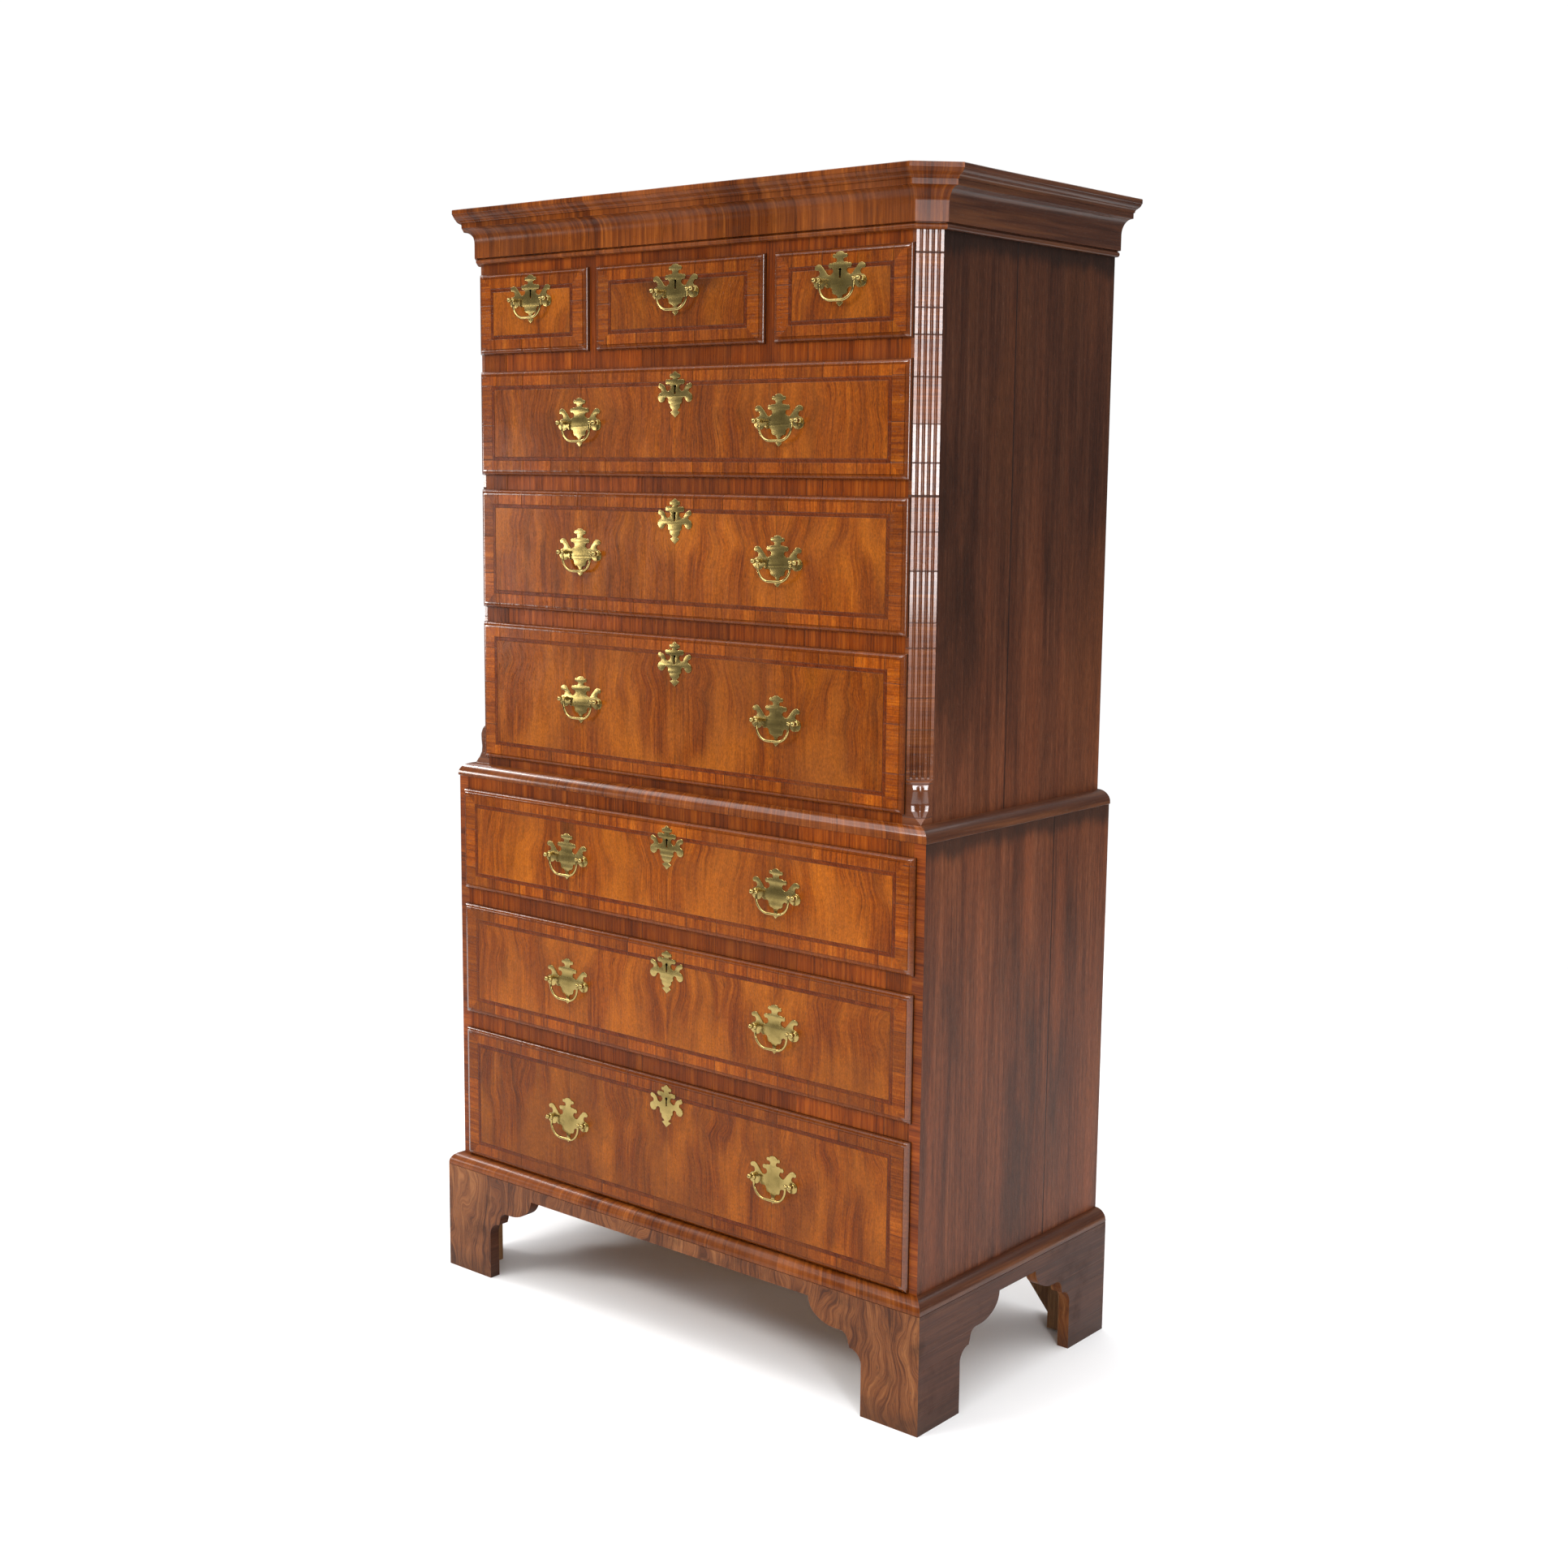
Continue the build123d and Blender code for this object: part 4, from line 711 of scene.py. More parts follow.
def corner_finish():
    """Narrow bands of cross-grain veneer, each with its own tone, open at the joints, with painted
    shade darkening the hollows of the flutes and grime along the foot."""
    f = Finish("canted_corner_veneer")
    z, girth, _ = f.split(f.add("TexCoord", {}, "UV"))
    uneven = f.scaled(f.noise(f.join(z, 0.0, 9.0), (9, 1, 1), 1.0), 0.16, z)
    band = f.work("DIVIDE", uneven, BAND_HEIGHT)
    tone = f.chance(f.work("FLOOR", band), 9.0)
    joint = f.size(f.less(f.work("FRACT", band), 0.5))
    joint = f.between(joint, 0.474, 0.488)
    colour, relief = walnut_grain(f, z, girth, f.times(tone, 4.0), SPLIT_TONES)
    bright = f.scaled(tone, 0.8, 0.6)
    colour = f.shade(colour, bright)
    redder = f.patches(f.join(z, girth, 1.0), (8, 30, 1), 0.35, 0.65, 3.0)
    colour = f.stain(colour, redder, 0.55, (0.22, 0.070, 0.026))
    colour = f.stain(colour, joint, 0.8, (0.030, 0.010, 0.004))
    relief = f.less(relief, joint)
    # Painted shade: the hollows of the flutes, found by their low pointiness, are darkened.
    flute_hollow_shade = f.between(f.add("NewGeometry", {}, "Pointiness"), 0.50, 0.44)
    colour = f.stain(colour, flute_hollow_shade, 0.75, (0.035, 0.010, 0.005))
    foot = f.between(f.z, STOP_TOP + 0.001, STOP_TOP - 0.006)
    colour = f.stain(colour, foot, 0.55, (0.10, 0.026, 0.008))
    rough = f.scaled(f.noise(f.join(z, girth, 4.0), (60, 60, 1), 3.0), 0.14, 0.10)
    rough = f.scaled(joint, 0.5, f.scaled(tone, 0.16, rough))
    polish = f.times(f.less(1.0, joint), f.scaled(tone, -0.35, 0.55))
    return f.finish(colour, rough, relief, 0.00004, coat=polish, coat_roughness=0.09, shine=0.45)


corner_veneer = corner_finish()
for name, side in (("right", 1), ("left", -1)):
    post = make_piece("canted_corner_" + name, [canted_corner(side)], corner_veneer, "case",
                      26.0)
    if side > 0:
        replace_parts(post, "canted_corners")

# ------------------------------------------------------------------ drawer fronts
# Each front is pine, veneered with book-matched walnut between a dark feather inlay and a border of
# cross-grain pieces. A rounded walnut lip runs round it. The back of the front is left bare.
FIELD_TONES = [(0.18, (0.070, 0.0133, 0.0008)), (0.36, (0.135, 0.0280, 0.0012)),
               (0.52, (0.193, 0.0448, 0.0021)), (0.68, (0.254, 0.0658, 0.0040)),
               (0.88, (0.328, 0.0994, 0.0090))]
BORDER_TONES = [(0.20, (0.090, 0.0168, 0.0009)), (0.42, (0.184, 0.0392, 0.0017)),
                (0.60, (0.262, 0.0644, 0.0035)), (0.82, (0.361, 0.1064, 0.0090))]
INLAY_SIDE, INLAY_TOP, INLAY_WIDTH = 0.0305, 0.0240, 0.0056
LIP_BORDER, LIP_THICK, BORDER_PIECE, KEYHOLE_SHADE_RADIUS = 0.0085, 0.008, 0.062, 0.009
# The keyhole is so far below the top of a long front, or above the top of a short drawer's bail.
KEYHOLE_DROP, KEYHOLE_OVER_BAIL = 0.031, 0.0104


def matched_leaves(f, from_x, from_z, half_x, half_z, leaves, seed):
    """Leaves that mirror one another, each so much further into the log than the last. The grain is
    bent by slow noise, gently at the foot of the leaf and into rings near its head. Gives the colour,
    the relief and the joints between leaves."""
    field_half = half_x - INLAY_SIDE - INLAY_WIDTH
    leaf = 2 * field_half / leaves
    along = f.plus(from_x, field_half + 2 * leaf)
    number = f.work("FLOOR", f.work("DIVIDE", along, leaf))
    mirror = f.work("PINGPONG", along, leaf)
    depth = f.scaled(number, 0.12, seed * 2.3)
    up = f.work("DIVIDE", f.plus(from_z, half_z), 2 * half_z)
    rings = f.between(up, 0.22, 0.80)
    unbent = f.join(mirror, f.z, depth)
    slow = f.noise(unbent, (8.5, 8.0, 1.0), 2.0, 0.45)
    fine = f.noise(unbent, (34, 12, 1.0), 3.0, 0.5)
    bend = f.times(f.less(slow, 0.5), f.scaled(rings, 0.085, 0.012))
    bent = f.plus(f.plus(mirror, bend), f.times(f.less(fine, 0.5), 0.006))
    figure, relief = walnut_grain(f, bent, f.z, depth, FIELD_TONES)
    on_leaf = f.join(bent, f.z, depth)
    knot = f.times(f.between(slow, 0.60, 0.72), rings)
    figure = f.stain(figure, knot, 0.75, (0.070, 0.020, 0.003))
    dark_streaks = f.patches(on_leaf, (170, 6.0, 1.0), 0.50, 0.68, 3.0, 0.65)
    figure = f.stain(figure, dark_streaks, 0.55, (0.090, 0.024, 0.0030))
    flecks = f.patches(on_leaf, (560, 55, 1.0), 0.61, 0.68, 2.0)
    figure = f.stain(figure, flecks, 0.65, (0.055, 0.015, 0.0025))
    smoke = f.patches(on_leaf, (26, 2.6, 1.0), 0.55, 0.78, 3.0, 0.6)
    figure = f.stain(figure, smoke, 0.70, (0.075, 0.021, 0.0035))
    glow = f.patches(on_leaf, (13, 5, 1.0), 0.42, 0.68, 2.0)
    figure = f.stain(figure, glow, 0.50, (0.40, 0.125, 0.0120))
    figure = f.shade(figure, f.scaled(f.chance(number, seed), 0.26, 0.98))
    joint = f.size(f.less(f.work("FRACT", f.work("DIVIDE", along, leaf)), 0.5))
    joint = f.between(joint, 0.5 - 0.0008 / leaf, 0.5)
    figure = f.stain(figure, joint, 0.55, (0.05, 0.014, 0.003))
    return figure, relief, joint


def feather_inlay(f, into):
    """A slanting feather of dark veneer. Gives its colour and the dark line at each of its edges."""
    slant = f.times(f.plus(f.x, f.z), 1100)
    feather = f.scaled(f.work("SINE", slant), 0.07, f.noise(f.coords, (90, 90, 90), 3.0))
    inlay = f.ramp(feather, [(0.3, (0.075, 0.0125, 0.0013)), (0.7, (0.150, 0.0290, 0.0027))])
    from_line = f.least(f.size(into), f.size(f.less(into, INLAY_WIDTH)))
    return inlay, f.between(from_line, 0.0009, 0.0002)


def front_finish(drawer, leaves, seed, age, light):
    """The veneers of one front, set out from its own edges: a lip, a border that changes direction at
    the mitres, an inlay and matched leaves, under brown patches, specks and mottle, with painted
    shade along the lip's outer edge, a painted shadow line at its root and a painted black keyhole."""
    low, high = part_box(drawer + "_front")
    middle_x, middle_z = (low[0] + high[0]) / 2, (low[2] + high[2]) / 2
    half_x, half_z = (high[0] - low[0]) / 2, (high[2] - low[2]) / 2
    f = Finish(drawer + "_veneer")
    from_x, from_z = f.less(f.x, middle_x), f.less(f.z, middle_z)
    side = f.less(half_x, f.size(from_x))
    top = f.less(half_z, f.size(from_z))
    past_side, past_top = f.less(side, INLAY_SIDE), f.less(top, INLAY_TOP)
    into = f.least(past_side, past_top)
    upright_band = f.under(past_side, past_top)

    # The border and the lip: short pieces, upright grain above and below, level grain at the sides.
    run, grain = f.pick(upright_band, f.x, f.z), f.pick(upright_band, f.z, f.x)
    piece = f.scaled(upright_band, 17.0, f.times(f.work("SIGN", from_z), 5.0))
    border, border_relief = cross_veneer(f, run, grain, piece, BORDER_PIECE, BORDER_TONES, seed)
    figure, relief, joint = matched_leaves(f, from_x, from_z, half_x, half_z, leaves, seed)
    inlay, line = feather_inlay(f, into)

    # Border, inlay and leaves, one inside the other, with the inlay's edge lines over them.
    colour = f.tint(f.over(into, 0.0), border, inlay)
    relief = f.pick(f.over(into, INLAY_WIDTH), border_relief, relief)
    colour = f.tint(f.over(into, INLAY_WIDTH), colour, figure)
    colour = f.stain(colour, line, 0.55, (0.045, 0.012, 0.003))

    # A browner lip, dark specks and brown patches, mottle, painted shade on the lip's outer edge and a
    # painted shadow line at its root.
    from_edge = f.least(side, top)
    lip = f.under(from_edge, LIP_BORDER)
    colour = f.stain(colour, lip, 0.70, (0.115, 0.027, 0.0055))
    specks = f.patches(f.coords, (420, 420, 190), 0.69, 0.75, 2.0, 0.6)
    colour = f.stain(colour, specks, 0.7, (0.030, 0.009, 0.002))
    patch = f.noise(f.coords, (6.5, 6.5, 6.5), 4.0, 0.6)
    colour = f.stain(colour, f.between(patch, 0.40, 0.68), age, (0.160, 0.047, 0.011))
    mottle = f.scaled(f.noise(f.coords, (640, 640, 300), 2.0), 1.10, 0.20)
    mottle = f.scaled(f.noise(f.coords, (160, 160, 210), 2.0), 0.50, mottle)
    colour = f.shade(colour, mottle)
    # Painted shade: the outermost few millimetres of the lip are darkened.
    colour = f.stain(colour, f.between(from_edge, 0.0035, 0.0), 0.45, (0.060, 0.016, 0.004))
    # Painted shadow: a near-black line where the lip meets the rail.
    lip_root_shadow = f.between(f.y, low[1] + 0.0050, low[1] + 0.0066)
    colour = f.stain(colour, lip_root_shadow, 0.9, (0.012, 0.0045, 0.002))
    colour = f.tint(1.0, colour, f.join(light, light * 0.90, light * 0.60), "MULTIPLY")

    # The keyhole is painted black on the wood seen through the plate: painted shade where the hole would be
    # dark.
    if "short" in drawer:
        key_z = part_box(drawer + "_bail")[1][2] + KEYHOLE_OVER_BAIL
    else:
        key_z = high[2] - KEYHOLE_DROP
    from_key = f.join(from_x, 0.0, f.less(f.z, key_z))
    from_key = f.add("VectorMath", {0: from_key}, "Value", operation="LENGTH")
    colour = f.tint(f.under(from_key, KEYHOLE_SHADE_RADIUS), colour, (0.004, 0.003, 0.002, 1))

    shown = f.under(f.y, low[1] + LIP_THICK + 0.0004)
    bare, _ = walnut_grain(f, f.z, f.x, 5.0, BARE_TONES)
    colour = f.tint(shown, bare, colour)
    relief = f.less(f.less(relief, f.times(line, 0.8)), joint)
    relief = f.plus(relief, f.times(f.noise(f.coords, (22, 22, 9), 2.0), 5.0))
    rough = f.pick(lip, f.scaled(patch, 0.34, 0.18), 0.13)
    # Hands and dusters polish the upright lips most and the lower lip least.
    polish = f.pick(upright_band, f.pick(f.over(from_z, 0.0), 0.02, 0.20), 0.98)
    coat = f.scaled(lip, polish, 0.02)
    rough = f.pick(shown, 0.8, rough)
    return f.finish(colour, rough, relief, 0.00026, coat=coat, coat_roughness=0.12, shine=0.12)


# Each drawer's leaves, seed, share of browned patches and lightness.
FRONT_LOOKS = {"drawer_short_left": (1, 3.0, 0.10, 0.82), "drawer_short_middle": (2, 5.5, 0.10, 0.78),
               "drawer_short_right": (1, 8.2, 0.10, 0.76), "drawer_upper_1": (4, 12.6, 0.25, 0.88),
               "drawer_upper_2": (4, 15.1, 0.30, 0.88), "drawer_upper_3": (4, 21.7, 0.45, 0.96),
               "drawer_lower_1": (4, 26.3, 0.45, 1.02), "drawer_lower_2": (4, 31.9, 0.50, 0.94),
               "drawer_lower_3": (4, 37.2, 0.60, 0.84)}
for drawer, (leaves, seed, age, light) in FRONT_LOOKS.items():
    veneer = front_finish(drawer, leaves, seed, age, light)
    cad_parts[drawer + "_front"].material_slots[0].material = veneer

# ------------------------------------------------------------------ plates, posts and locks
# Sheet-brass plates sawn to a scrolled outline, filed to a bevel and held by turned posts, which
# pass through the front to nuts inside. An iron lock is let into the back of each front.
PLATE_THICK, PLATE_BEVEL, PLATE_CORE, POST_SPREAD, STAND_OFF = 0.0012, 0.0006, 0.0004, 0.040, 0.008
# A bail's bead, whose middle is the pivot, and how far the short drawers' keyhole is above the pivot.
BEAD = 0.0031
KEYHOLE_OVER_PIVOT = KEYHOLE_OVER_BAIL + BEAD
# Half outlines from the top tip round to the bottom tip, in millimetres: (point on the arc, its end).
PLATE_TOP, PLATE_HALF = (0.0, 38.5), [
    ((4.8, 37.6), (8.6, 34.6)), ((13.3, 33.0), (9.6, 29.6)), ((5.8, 26.8), (7.4, 23.4)),
    ((11.6, 23.4), (15.2, 22.2)), ((20.9, 19.4), (15.4, 16.0)), ((12.2, 11.8), (15.8, 7.3)),
    ((19.4, 6.3), (22.8, 8.3)), ((27.2, 13.8), (33.0, 19.8)), ((38.6, 22.0), (43.0, 20.4)),
    ((45.4, 16.4), (40.4, 14.1)), ((36.6, 11.0), (38.4, 5.6)), ((47.6, -3.0), (38.2, -12.0)),
    ((31.2, -11.6), (27.0, -7.6)), ((24.6, -10.4), (21.4, -11.4)), ((16.4, -11.0), (13.6, -16.0)),
    ((12.2, -19.4), (8.0, -20.6)), ((4.2, -23.6), (2.6, -28.0)), (None, (6.2, -32.0)),
    (None, (0.0, -37.5))]
ESCUTCHEON_TOP, ESCUTCHEON_HALF = (0.0, 22.6), [
    ((3.6, 20.6), (6.2, 18.2)), ((10.8, 15.2), (6.4, 12.6)), ((5.0, 10.8), (7.2, 9.6)),
    ((10.4, 10.6), (13.6, 10.0)), ((19.6, 6.2), (14.0, 3.0)), ((8.6, -1.4), (11.4, -5.8)),
    ((15.2, -7.4), (19.0, -3.8)), ((22.4, 1.4), (27.4, 3.8)), ((34.4, 1.4), (31.0, -3.0)),
    ((27.6, -6.0), (30.0, -9.6)), ((35.4, -16.6), (27.6, -23.6)), ((22.2, -20.6), (20.8, -17.4)),
    ((16.8, -16.0), (13.6, -20.2)), ((13.4, -24.2), (10.2, -26.2)), ((9.6, -31.2), (5.6, -34.4)),
    (None, (4.4, -36.4)), (None, (9.8, -38.6)), (None, (0.0, -46.6))]


def arc_through(start, via, end, count=7):
    """Points after start on the circle through three points: its centre is where the two chords'
    right bisectors cross, and the angle runs the way that passes via."""
    a, b, c = (np.array(p, float) for p in (start, via, end))
    matrix = 2 * np.array([b - a, c - a])
    centre = np.linalg.solve(matrix, [b @ b - a @ a, c @ c - a @ a])
    angles = np.unwrap([math.atan2(*(p - centre)[::-1]) for p in (a, b, c)])
    sweep = np.interp(np.linspace(0, 1, count), [0, 0.5, 1], angles)[1:]
    return centre + np.hypot(*(a - centre)) * np.stack([np.cos(sweep), np.sin(sweep)], axis=1)


def plate_outline(top, half):
    """The right half's arcs and lines, then the same points mirrored on the way back up, in metres."""
    points, start = [np.array([top])], top
    for via, end in half:
        points.append(np.array([end]) if via is None else arc_through(start, via, end))
        start = end
    right_half = np.concatenate(points)
    left_half = right_half[-2:0:-1] * (-1, 1)
    return np.concatenate([right_half, left_half]) / 1000


KEY_ROUND, KEY_SLOT_HALF, KEY_SLOT_END = 0.0023, 0.0013, 0.012


def keyhole_outline(height):
    """A round over a slot. The round opens where its half width is the slot's: the cosine of that
    angle is the slot's half width over the radius."""
    opens = math.acos(KEY_SLOT_HALF / KEY_ROUND)
    angle = np.linspace(-opens, math.pi + opens, 24)
    round_part = np.stack([KEY_ROUND * np.cos(angle), KEY_ROUND * np.sin(angle) + height], axis=1)
    foot = height - KEY_SLOT_END
    return np.concatenate([round_part, [(-KEY_SLOT_HALF, foot), (KEY_SLOT_HALF, foot)]])


def plate_points(outlines):
    """A filled outline with its holes, with a filed bevel, as points (across, up, thick) and faces.
    The back half is squared so that the plate lies flat on the wood."""
    curve = bpy.data.curves.new("plate_outline", "CURVE")
    curve.dimensions, curve.fill_mode = "2D", "BOTH"
    curve.extrude, curve.bevel_depth, curve.bevel_resolution = PLATE_CORE, PLATE_BEVEL, 2
    curve.offset = -PLATE_BEVEL
    for outline in outlines:
        spline = curve.splines.new("POLY")
        spline.points.add(len(outline) - 1)
        flat = np.zeros((len(outline), 4))
        flat[:, :2], flat[:, 3] = outline, 1
        spline.points.foreach_set("co", flat.ravel())
        spline.use_cyclic_u = True
    holder = bpy.data.objects.new("plate_outline", curve)
    mesh = bpy.data.meshes.new_from_object(holder)
    points = np.zeros(len(mesh.vertices) * 3)
    mesh.vertices.foreach_get("co", points)
    points = points.reshape(-1, 3)
    faces = [tuple(face.vertices) for face in mesh.polygons]
    bpy.data.objects.remove(holder)
    bpy.data.curves.remove(curve)
    bpy.data.meshes.remove(mesh)
    raised = points[:, 2] * PLATE_THICK / 2 / (PLATE_BEVEL + PLATE_CORE)
    points[:, 2] = np.where(points[:, 2] < 0, -PLATE_THICK / 2, raised)
    return points, faces


def turned(profile, sides=28):
    """A profile of (distance along, radius) carried round its axis in equal steps, as a grid whose
    last column repeats the first, with along as its third number."""
    along, radius = np.array(profile, float).T
    angle = np.linspace(0, 2 * math.pi, sides + 1)
    return np.stack([radius[:, None] * np.cos(angle), radius[:, None] * np.sin(angle),
                     np.repeat(along[:, None], sides + 1, 1)], axis=2)


def brass_finish(name, tarnish, polish=1.0):
    """Lacquered brass gone olive, darkest in the middle of a plate and bright where hands rub it. Its
    flats are a little wavy, as hand-hammered sheet is."""
    f = Finish(name)
    u, v, _ = f.split(f.add("TexCoord", {}, "UV"))
    from_middle = f.add("VectorMath", {0: f.join(u, v, 0.0)}, "Value", operation="LENGTH")
    middle = f.between(from_middle, 0.031, 0.006)
    cloud = f.noise(f.coords, (70, 70, 70), 4.0, 0.6)
    patchy = f.times(f.between(cloud, 0.42, 0.72), 0.4)
    dull = f.times(f.scaled(middle, 0.75, patchy), tarnish)
    colour = f.tint(dull, (0.37, 0.275, 0.098, 1), (0.140, 0.102, 0.030, 1))
    spots = f.patches(f.coords, (520, 520, 520), 0.68, 0.75, 2.0)
    colour = f.stain(colour, spots, 0.5, (0.05, 0.035, 0.012))
    scratch = f.noise(f.coords, (900, 900, 120), 2.0)
    rough = f.scaled(cloud, 0.16, f.scaled(scratch, 0.06, 0.15 / polish))
    wave = f.noise(f.coords, (38, 38, 38), 1.0)
    relief = f.scaled(wave, 2.5, f.times(scratch, 0.12))
    return f.finish(colour, rough, relief, 0.00004, metallic=1.0)


def iron_finish():
    """Old filed iron, grey-brown with patches of rust."""
    f = Finish("lock_iron")
    rust = f.patches(f.coords, (60, 60, 60), 0.48, 0.66, 5.0, 0.65)
    filed = f.noise(f.coords, (900, 900, 60), 2.0)
    colour = f.tint(rust, (0.15, 0.135, 0.12, 1), (0.10, 0.045, 0.022, 1))
    rough = f.scaled(rust, 0.35, 0.38)
    return f.finish(colour, rough, filed, 0.0001, metallic=0.85)


# Turnings and locks carry one UV, far enough out to be as bright as the rim of a plate.
BRIGHT_UV = 0.03


def turning_part(profile, x, y, z, axis="y", sides=28, flip=1):
    """A turning set with its axis along y, or along x."""
    grid = turned(profile, sides)
    across, up, along = grid[..., 0], grid[..., 1], grid[..., 2]
    if axis == "y":
        place = np.stack([x + across, y + along, z + up], axis=2)
    else:
        place = np.stack([x + flip * along, y + across, z + up], axis=2)
    return place, np.full((*grid.shape[:2], 2), BRIGHT_UV), grid_quads(*grid.shape[:2]).tolist()


def closed_tube(place):
    """A grid whose rows are rings, closed by a face at its first ring and at its last."""
    rows, columns = place.shape[:2]
    ring = np.arange(columns - 1)
    faces = grid_quads(rows, columns).tolist() + [ring.tolist(), (ring + (rows - 1) * columns).tolist()]
    return place, np.full((rows, columns, 2), BRIGHT_UV), faces


def ball_arc(centre, radius, start, end, count):
    """Profile points (along, radius) of a ball, by the angle from the along axis in degrees."""
    angle = np.radians(np.linspace(start, end, count))
    return [(centre + radius * math.cos(a), radius * math.sin(a)) for a in angle]


plate_brass, turned_brass = brass_finish("plate_brass", 0.80), brass_finish("turned_brass", 0.25, 2.0)
lock_iron = iron_finish()
handle_plate = plate_points([plate_outline(PLATE_TOP, PLATE_HALF)])
pierced_plate = plate_points([plate_outline(PLATE_TOP, PLATE_HALF), keyhole_outline(KEYHOLE_OVER_PIVOT)])
escutcheon = plate_points([plate_outline(ESCUTCHEON_TOP, ESCUTCHEON_HALF), keyhole_outline(0.0)])


def set_plate(plate, x, y_wood, z):
    """A plate laid on the wood: across to x, up to z, and its thickness towards the front."""
    points, faces = plate
    place = np.stack([x + points[:, 0], y_wood - PLATE_THICK / 2 - points[:, 2], z + points[:, 1]], axis=1)
    return place, points[:, :2].copy(), faces


CORE_THICK = 0.014
CASE_FRONT_Y = {"short": UPPER_FRONT_Y, "upper": UPPER_FRONT_Y, "lower": LOWER_FRONT_Y}
post_profile = ([(-0.0042, 0.0)] + ball_arc(0.0, 0.0042, 172, 40, 14)
                + [(0.0040, 0.0024), (0.0052, 0.0021), (0.0062, 0.0026), (0.0066, 0.0034), (0.0074, 0.0036),
                   (0.0080, 0.0034), (0.0080, 0.0020), (0.0392, 0.0020), (0.0398, 0.0014), (0.0398, 0.0)])
nut_profile = [(0.0, 0.0022), (0.0, 0.0054), (0.0004, 0.0060), (0.0026, 0.0060), (0.0030, 0.0054),
               (0.0030, 0.0022), (0.0, 0.0022)]


def rounded_ring(x, y, half_x, half_y, corner):
    """A closed rectangle in plan with rounded corners, five points to a corner."""
    angle = np.linspace(0, 2 * math.pi, 20, endpoint=False)
    quarter = np.floor(angle / (math.pi / 2) + 1e-6).astype(int)
    local = np.arange(20) % 5 / 4 * math.pi / 2 + quarter * math.pi / 2
    sign_x, sign_y = np.array([1, -1, -1, 1])[quarter], np.array([1, 1, -1, -1])[quarter]
    ring = np.stack([x + sign_x * (half_x - corner) + corner * np.cos(local),
                     y + sign_y * (half_y - corner) + corner * np.sin(local)], axis=1)
    return np.concatenate([ring, ring[:1]])


LOCK_HALF_THICK, PIN_FROM_CASE = 0.005, 0.0045
# The lock case's rings from its foot to its top and down the bolt's well, each ((half width, half
# thickness, corner), how far below the top).
LOCK_RINGS = [((0.0300, LOCK_HALF_THICK, 0.0008), 0.045), ((0.0300, LOCK_HALF_THICK, 0.0008), 0.0004),
              ((0.0296, 0.0046, 0.0008), 0.0), ((0.0113, 0.0028, 0.0002), 0.0),
              ((0.0113, 0.0028, 0.0002), 0.0243)]
key_pin_profile = [(0.0, 0.0), (0.0, 0.0012), (0.0003, 0.0014), (0.0045, 0.0014), (0.0045, 0.0)]


def lock_case(x, y_back, z_top):
    """A lock case: its rings are rounded rectangles, one above another."""
    levels = []
    for size, drop in LOCK_RINGS:
        plan = rounded_ring(x, y_back - LOCK_HALF_THICK, *size)
        levels.append(np.concatenate([plan, np.full((len(plan), 1), z_top - drop)], axis=1))
    return closed_tube(np.array(levels))


for drawer in FRONT_LOOKS:
    kind = drawer.split("_")[1]
    low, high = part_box(drawer + "_front")
    y_wood, y_case = low[1], CASE_FRONT_Y[kind]
    bolt_low, bolt_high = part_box(drawer + "_lock_bolt")
    middle = (bolt_low[0] + bolt_high[0]) / 2
    plates, turnings = [], []
    for ending in ("",) if kind == "short" else ("_left", "_right"):
        bail_low, bail_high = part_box(drawer + "_bail" + ending)
        x, pivot_z = (bail_low[0] + bail_high[0]) / 2, bail_high[2] - BEAD
        plates.append(set_plate(pierced_plate if kind == "short" else handle_plate, x, y_wood, pivot_z))
        for post_x in (x - POST_SPREAD, x + POST_SPREAD):
            turnings.append(turning_part(post_profile, post_x, y_wood - PLATE_THICK - STAND_OFF, pivot_z))
            turnings.append(turning_part(nut_profile, post_x, y_case + CORE_THICK, pivot_z, sides=6))
    if kind == "short":
        key_z = pivot_z + KEYHOLE_OVER_PIVOT
    else:
        key_z = high[2] - KEYHOLE_DROP
        plates.append(set_plate(escutcheon, middle, y_wood, key_z))
    brasses = make_piece(drawer + "_plates", plates, plate_brass, drawer, 12.0, weld=True)
    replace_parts(brasses, drawer + "_brasses")
    make_piece(drawer + "_posts", turnings, turned_brass, drawer, 40.0, weld=True)
    lock = [lock_case(middle, y_case + CORE_THICK, bolt_high[2]),
            turning_part(key_pin_profile, middle, y_case + PIN_FROM_CASE, key_z, sides=12)]
    make_piece(drawer + "_lock", lock, lock_iron, drawer, 40.0, weld=True)
    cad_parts[drawer + "_lock_bolt"].material_slots[0].material = lock_iron

# ------------------------------------------------------------------ swing handles
# Cast bails, thicker in the hand than at the ends, each with a bead and a pin that turns in a post.
BAIL_HALF, BAIL_DROP, BAIL_CORNER, BAIL_THIN, BAIL_SWELL = 0.031, 0.029, 0.022, 0.0018, 0.0005
PIN, PIN_LENGTH = 0.00125, 0.011


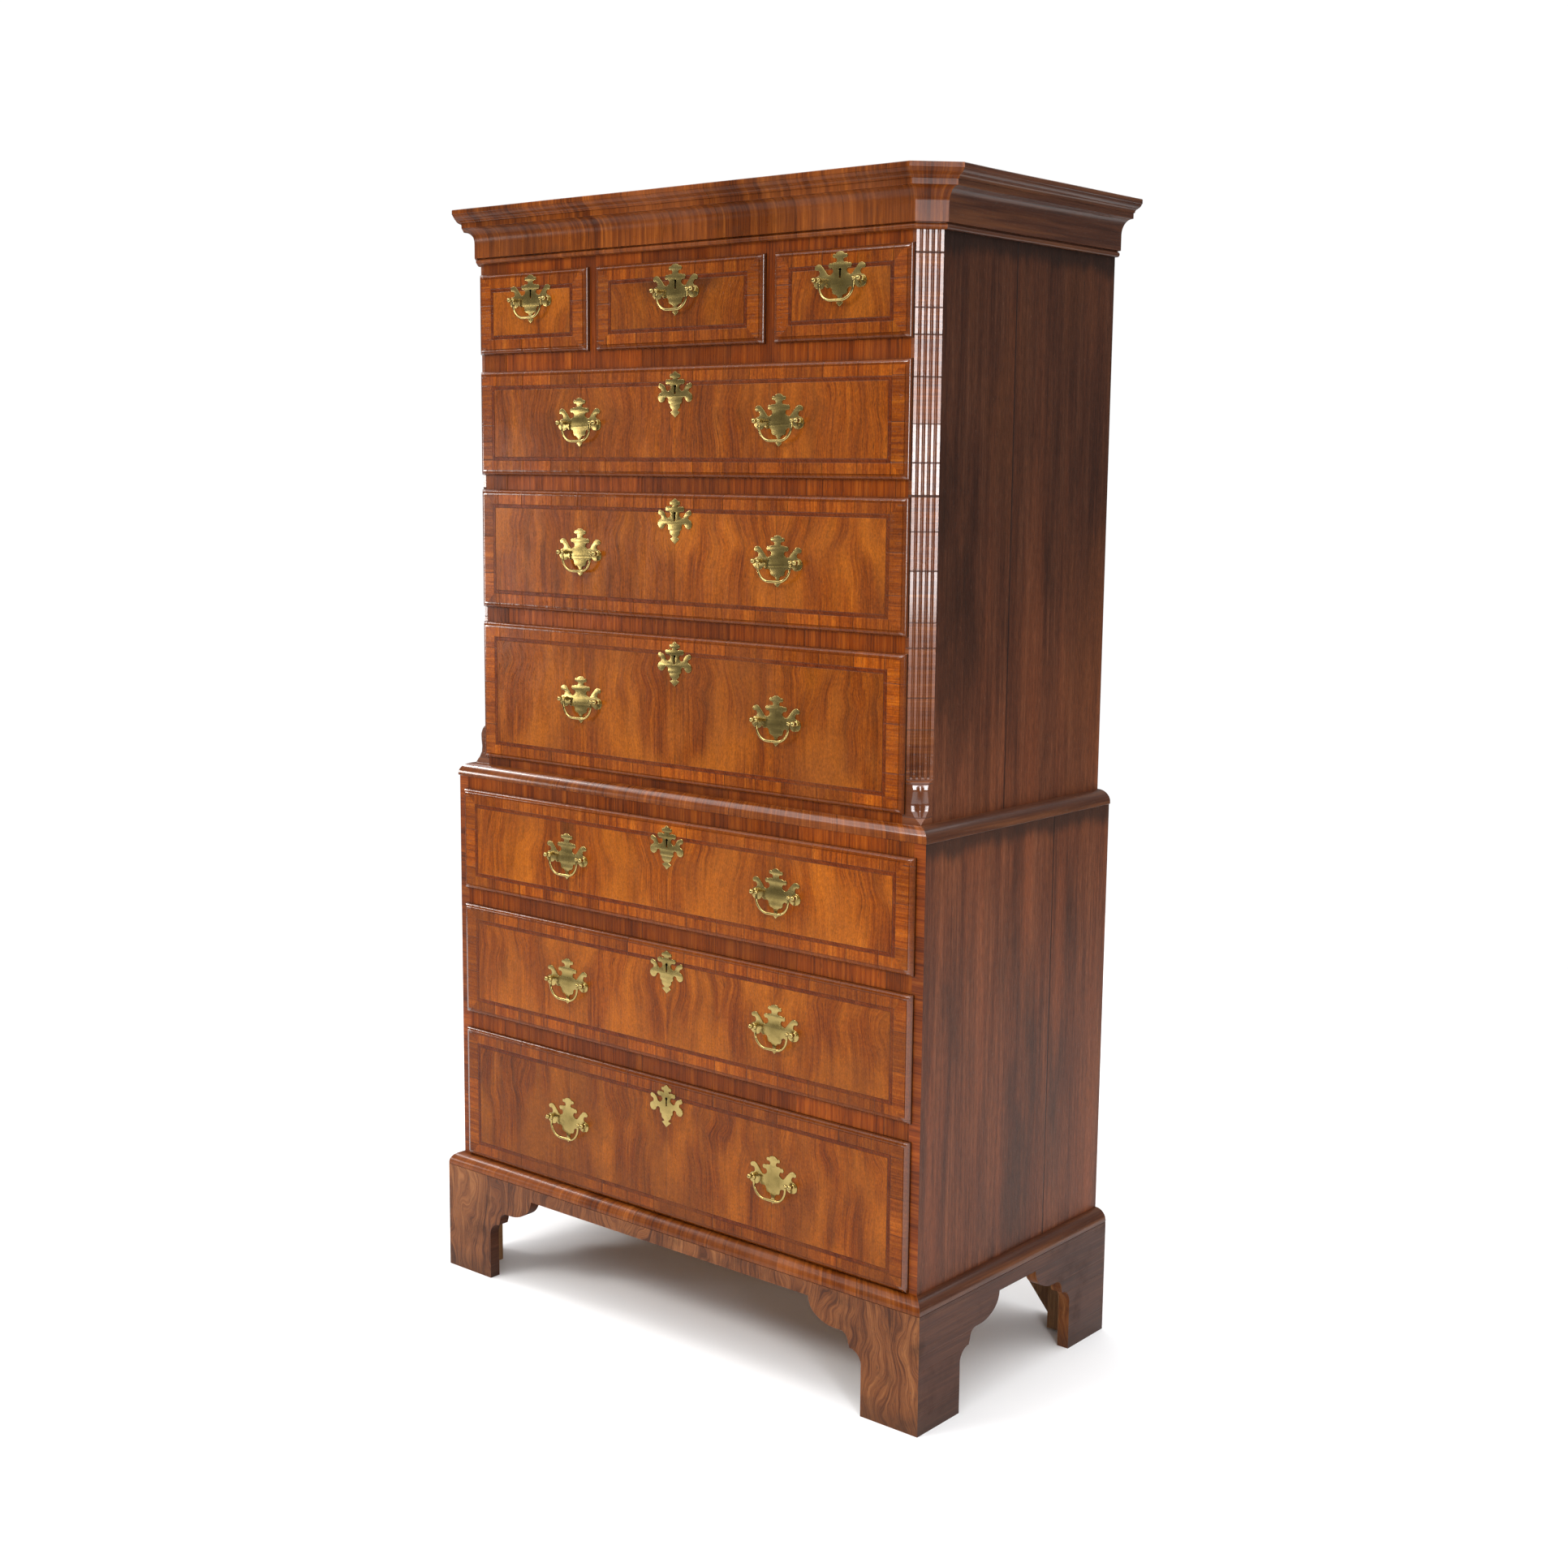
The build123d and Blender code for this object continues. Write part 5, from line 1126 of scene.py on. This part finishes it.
def bail_rod(x, y, z):
    """A round bar along a square-shouldered loop with rounded corners. Its radius is BAIL_THIN plus
    BAIL_SWELL times the 1.6th power of a sine that is 0 at the beads and 1 at the bottom middle."""
    corner = np.linspace(0, math.pi / 2, 18)[1:-1]
    drop = np.linspace(0, BAIL_DROP - BAIL_CORNER, 5)
    left = np.concatenate([
        np.stack([np.full(5, -BAIL_HALF), -drop], axis=1),
        np.stack([-BAIL_HALF + BAIL_CORNER * (1 - np.cos(corner)),
                  -(BAIL_DROP - BAIL_CORNER) - BAIL_CORNER * np.sin(corner)], axis=1),
        np.stack([np.linspace(-BAIL_HALF + BAIL_CORNER, 0, 7), np.full(7, -BAIL_DROP)], axis=1)])
    path = np.concatenate([left, left[-2::-1] * (-1, 1)])
    heading = np.gradient(path, axis=0)
    heading /= np.linalg.norm(heading, axis=1, keepdims=True)
    share = np.linspace(0, 1, len(path))
    thick = BAIL_THIN + BAIL_SWELL * np.sin(math.pi * share) ** 1.6
    thick[[0, -1]] = 0.0002
    angle = np.linspace(0, 2 * math.pi, 17)
    out = np.stack([-heading[:, 1], heading[:, 0]], axis=1)
    place = np.empty((len(path), 17, 3))
    place[..., 0] = x + path[:, :1] + thick[:, None] * np.cos(angle) * out[:, :1]
    place[..., 1] = y + thick[:, None] * np.sin(angle)
    place[..., 2] = z + path[:, 1:] + thick[:, None] * np.cos(angle) * out[:, 1:]
    return closed_tube(place)


bead_profile = ([(-BEAD, 0.0)] + ball_arc(0.0, BEAD, 172, 30, 14)
                + [(0.0032, PIN), (PIN_LENGTH - 0.0003, PIN), (PIN_LENGTH, PIN - 0.0003),
                   (PIN_LENGTH, 0.0)])
for name in [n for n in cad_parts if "_bail" in n]:
    bail_low, bail_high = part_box(name)
    x, z = (bail_low[0] + bail_high[0]) / 2, bail_high[2] - BEAD
    y = (bail_low[1] + bail_high[1]) / 2
    parts = [bail_rod(x, y, z)]
    parts += [turning_part(bead_profile, x + side * BAIL_HALF, y, z, "x", 20, side) for side in (-1, 1)]
    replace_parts(make_piece(name + "_loop", parts, turned_brass, name, 50.0, weld=True), name)
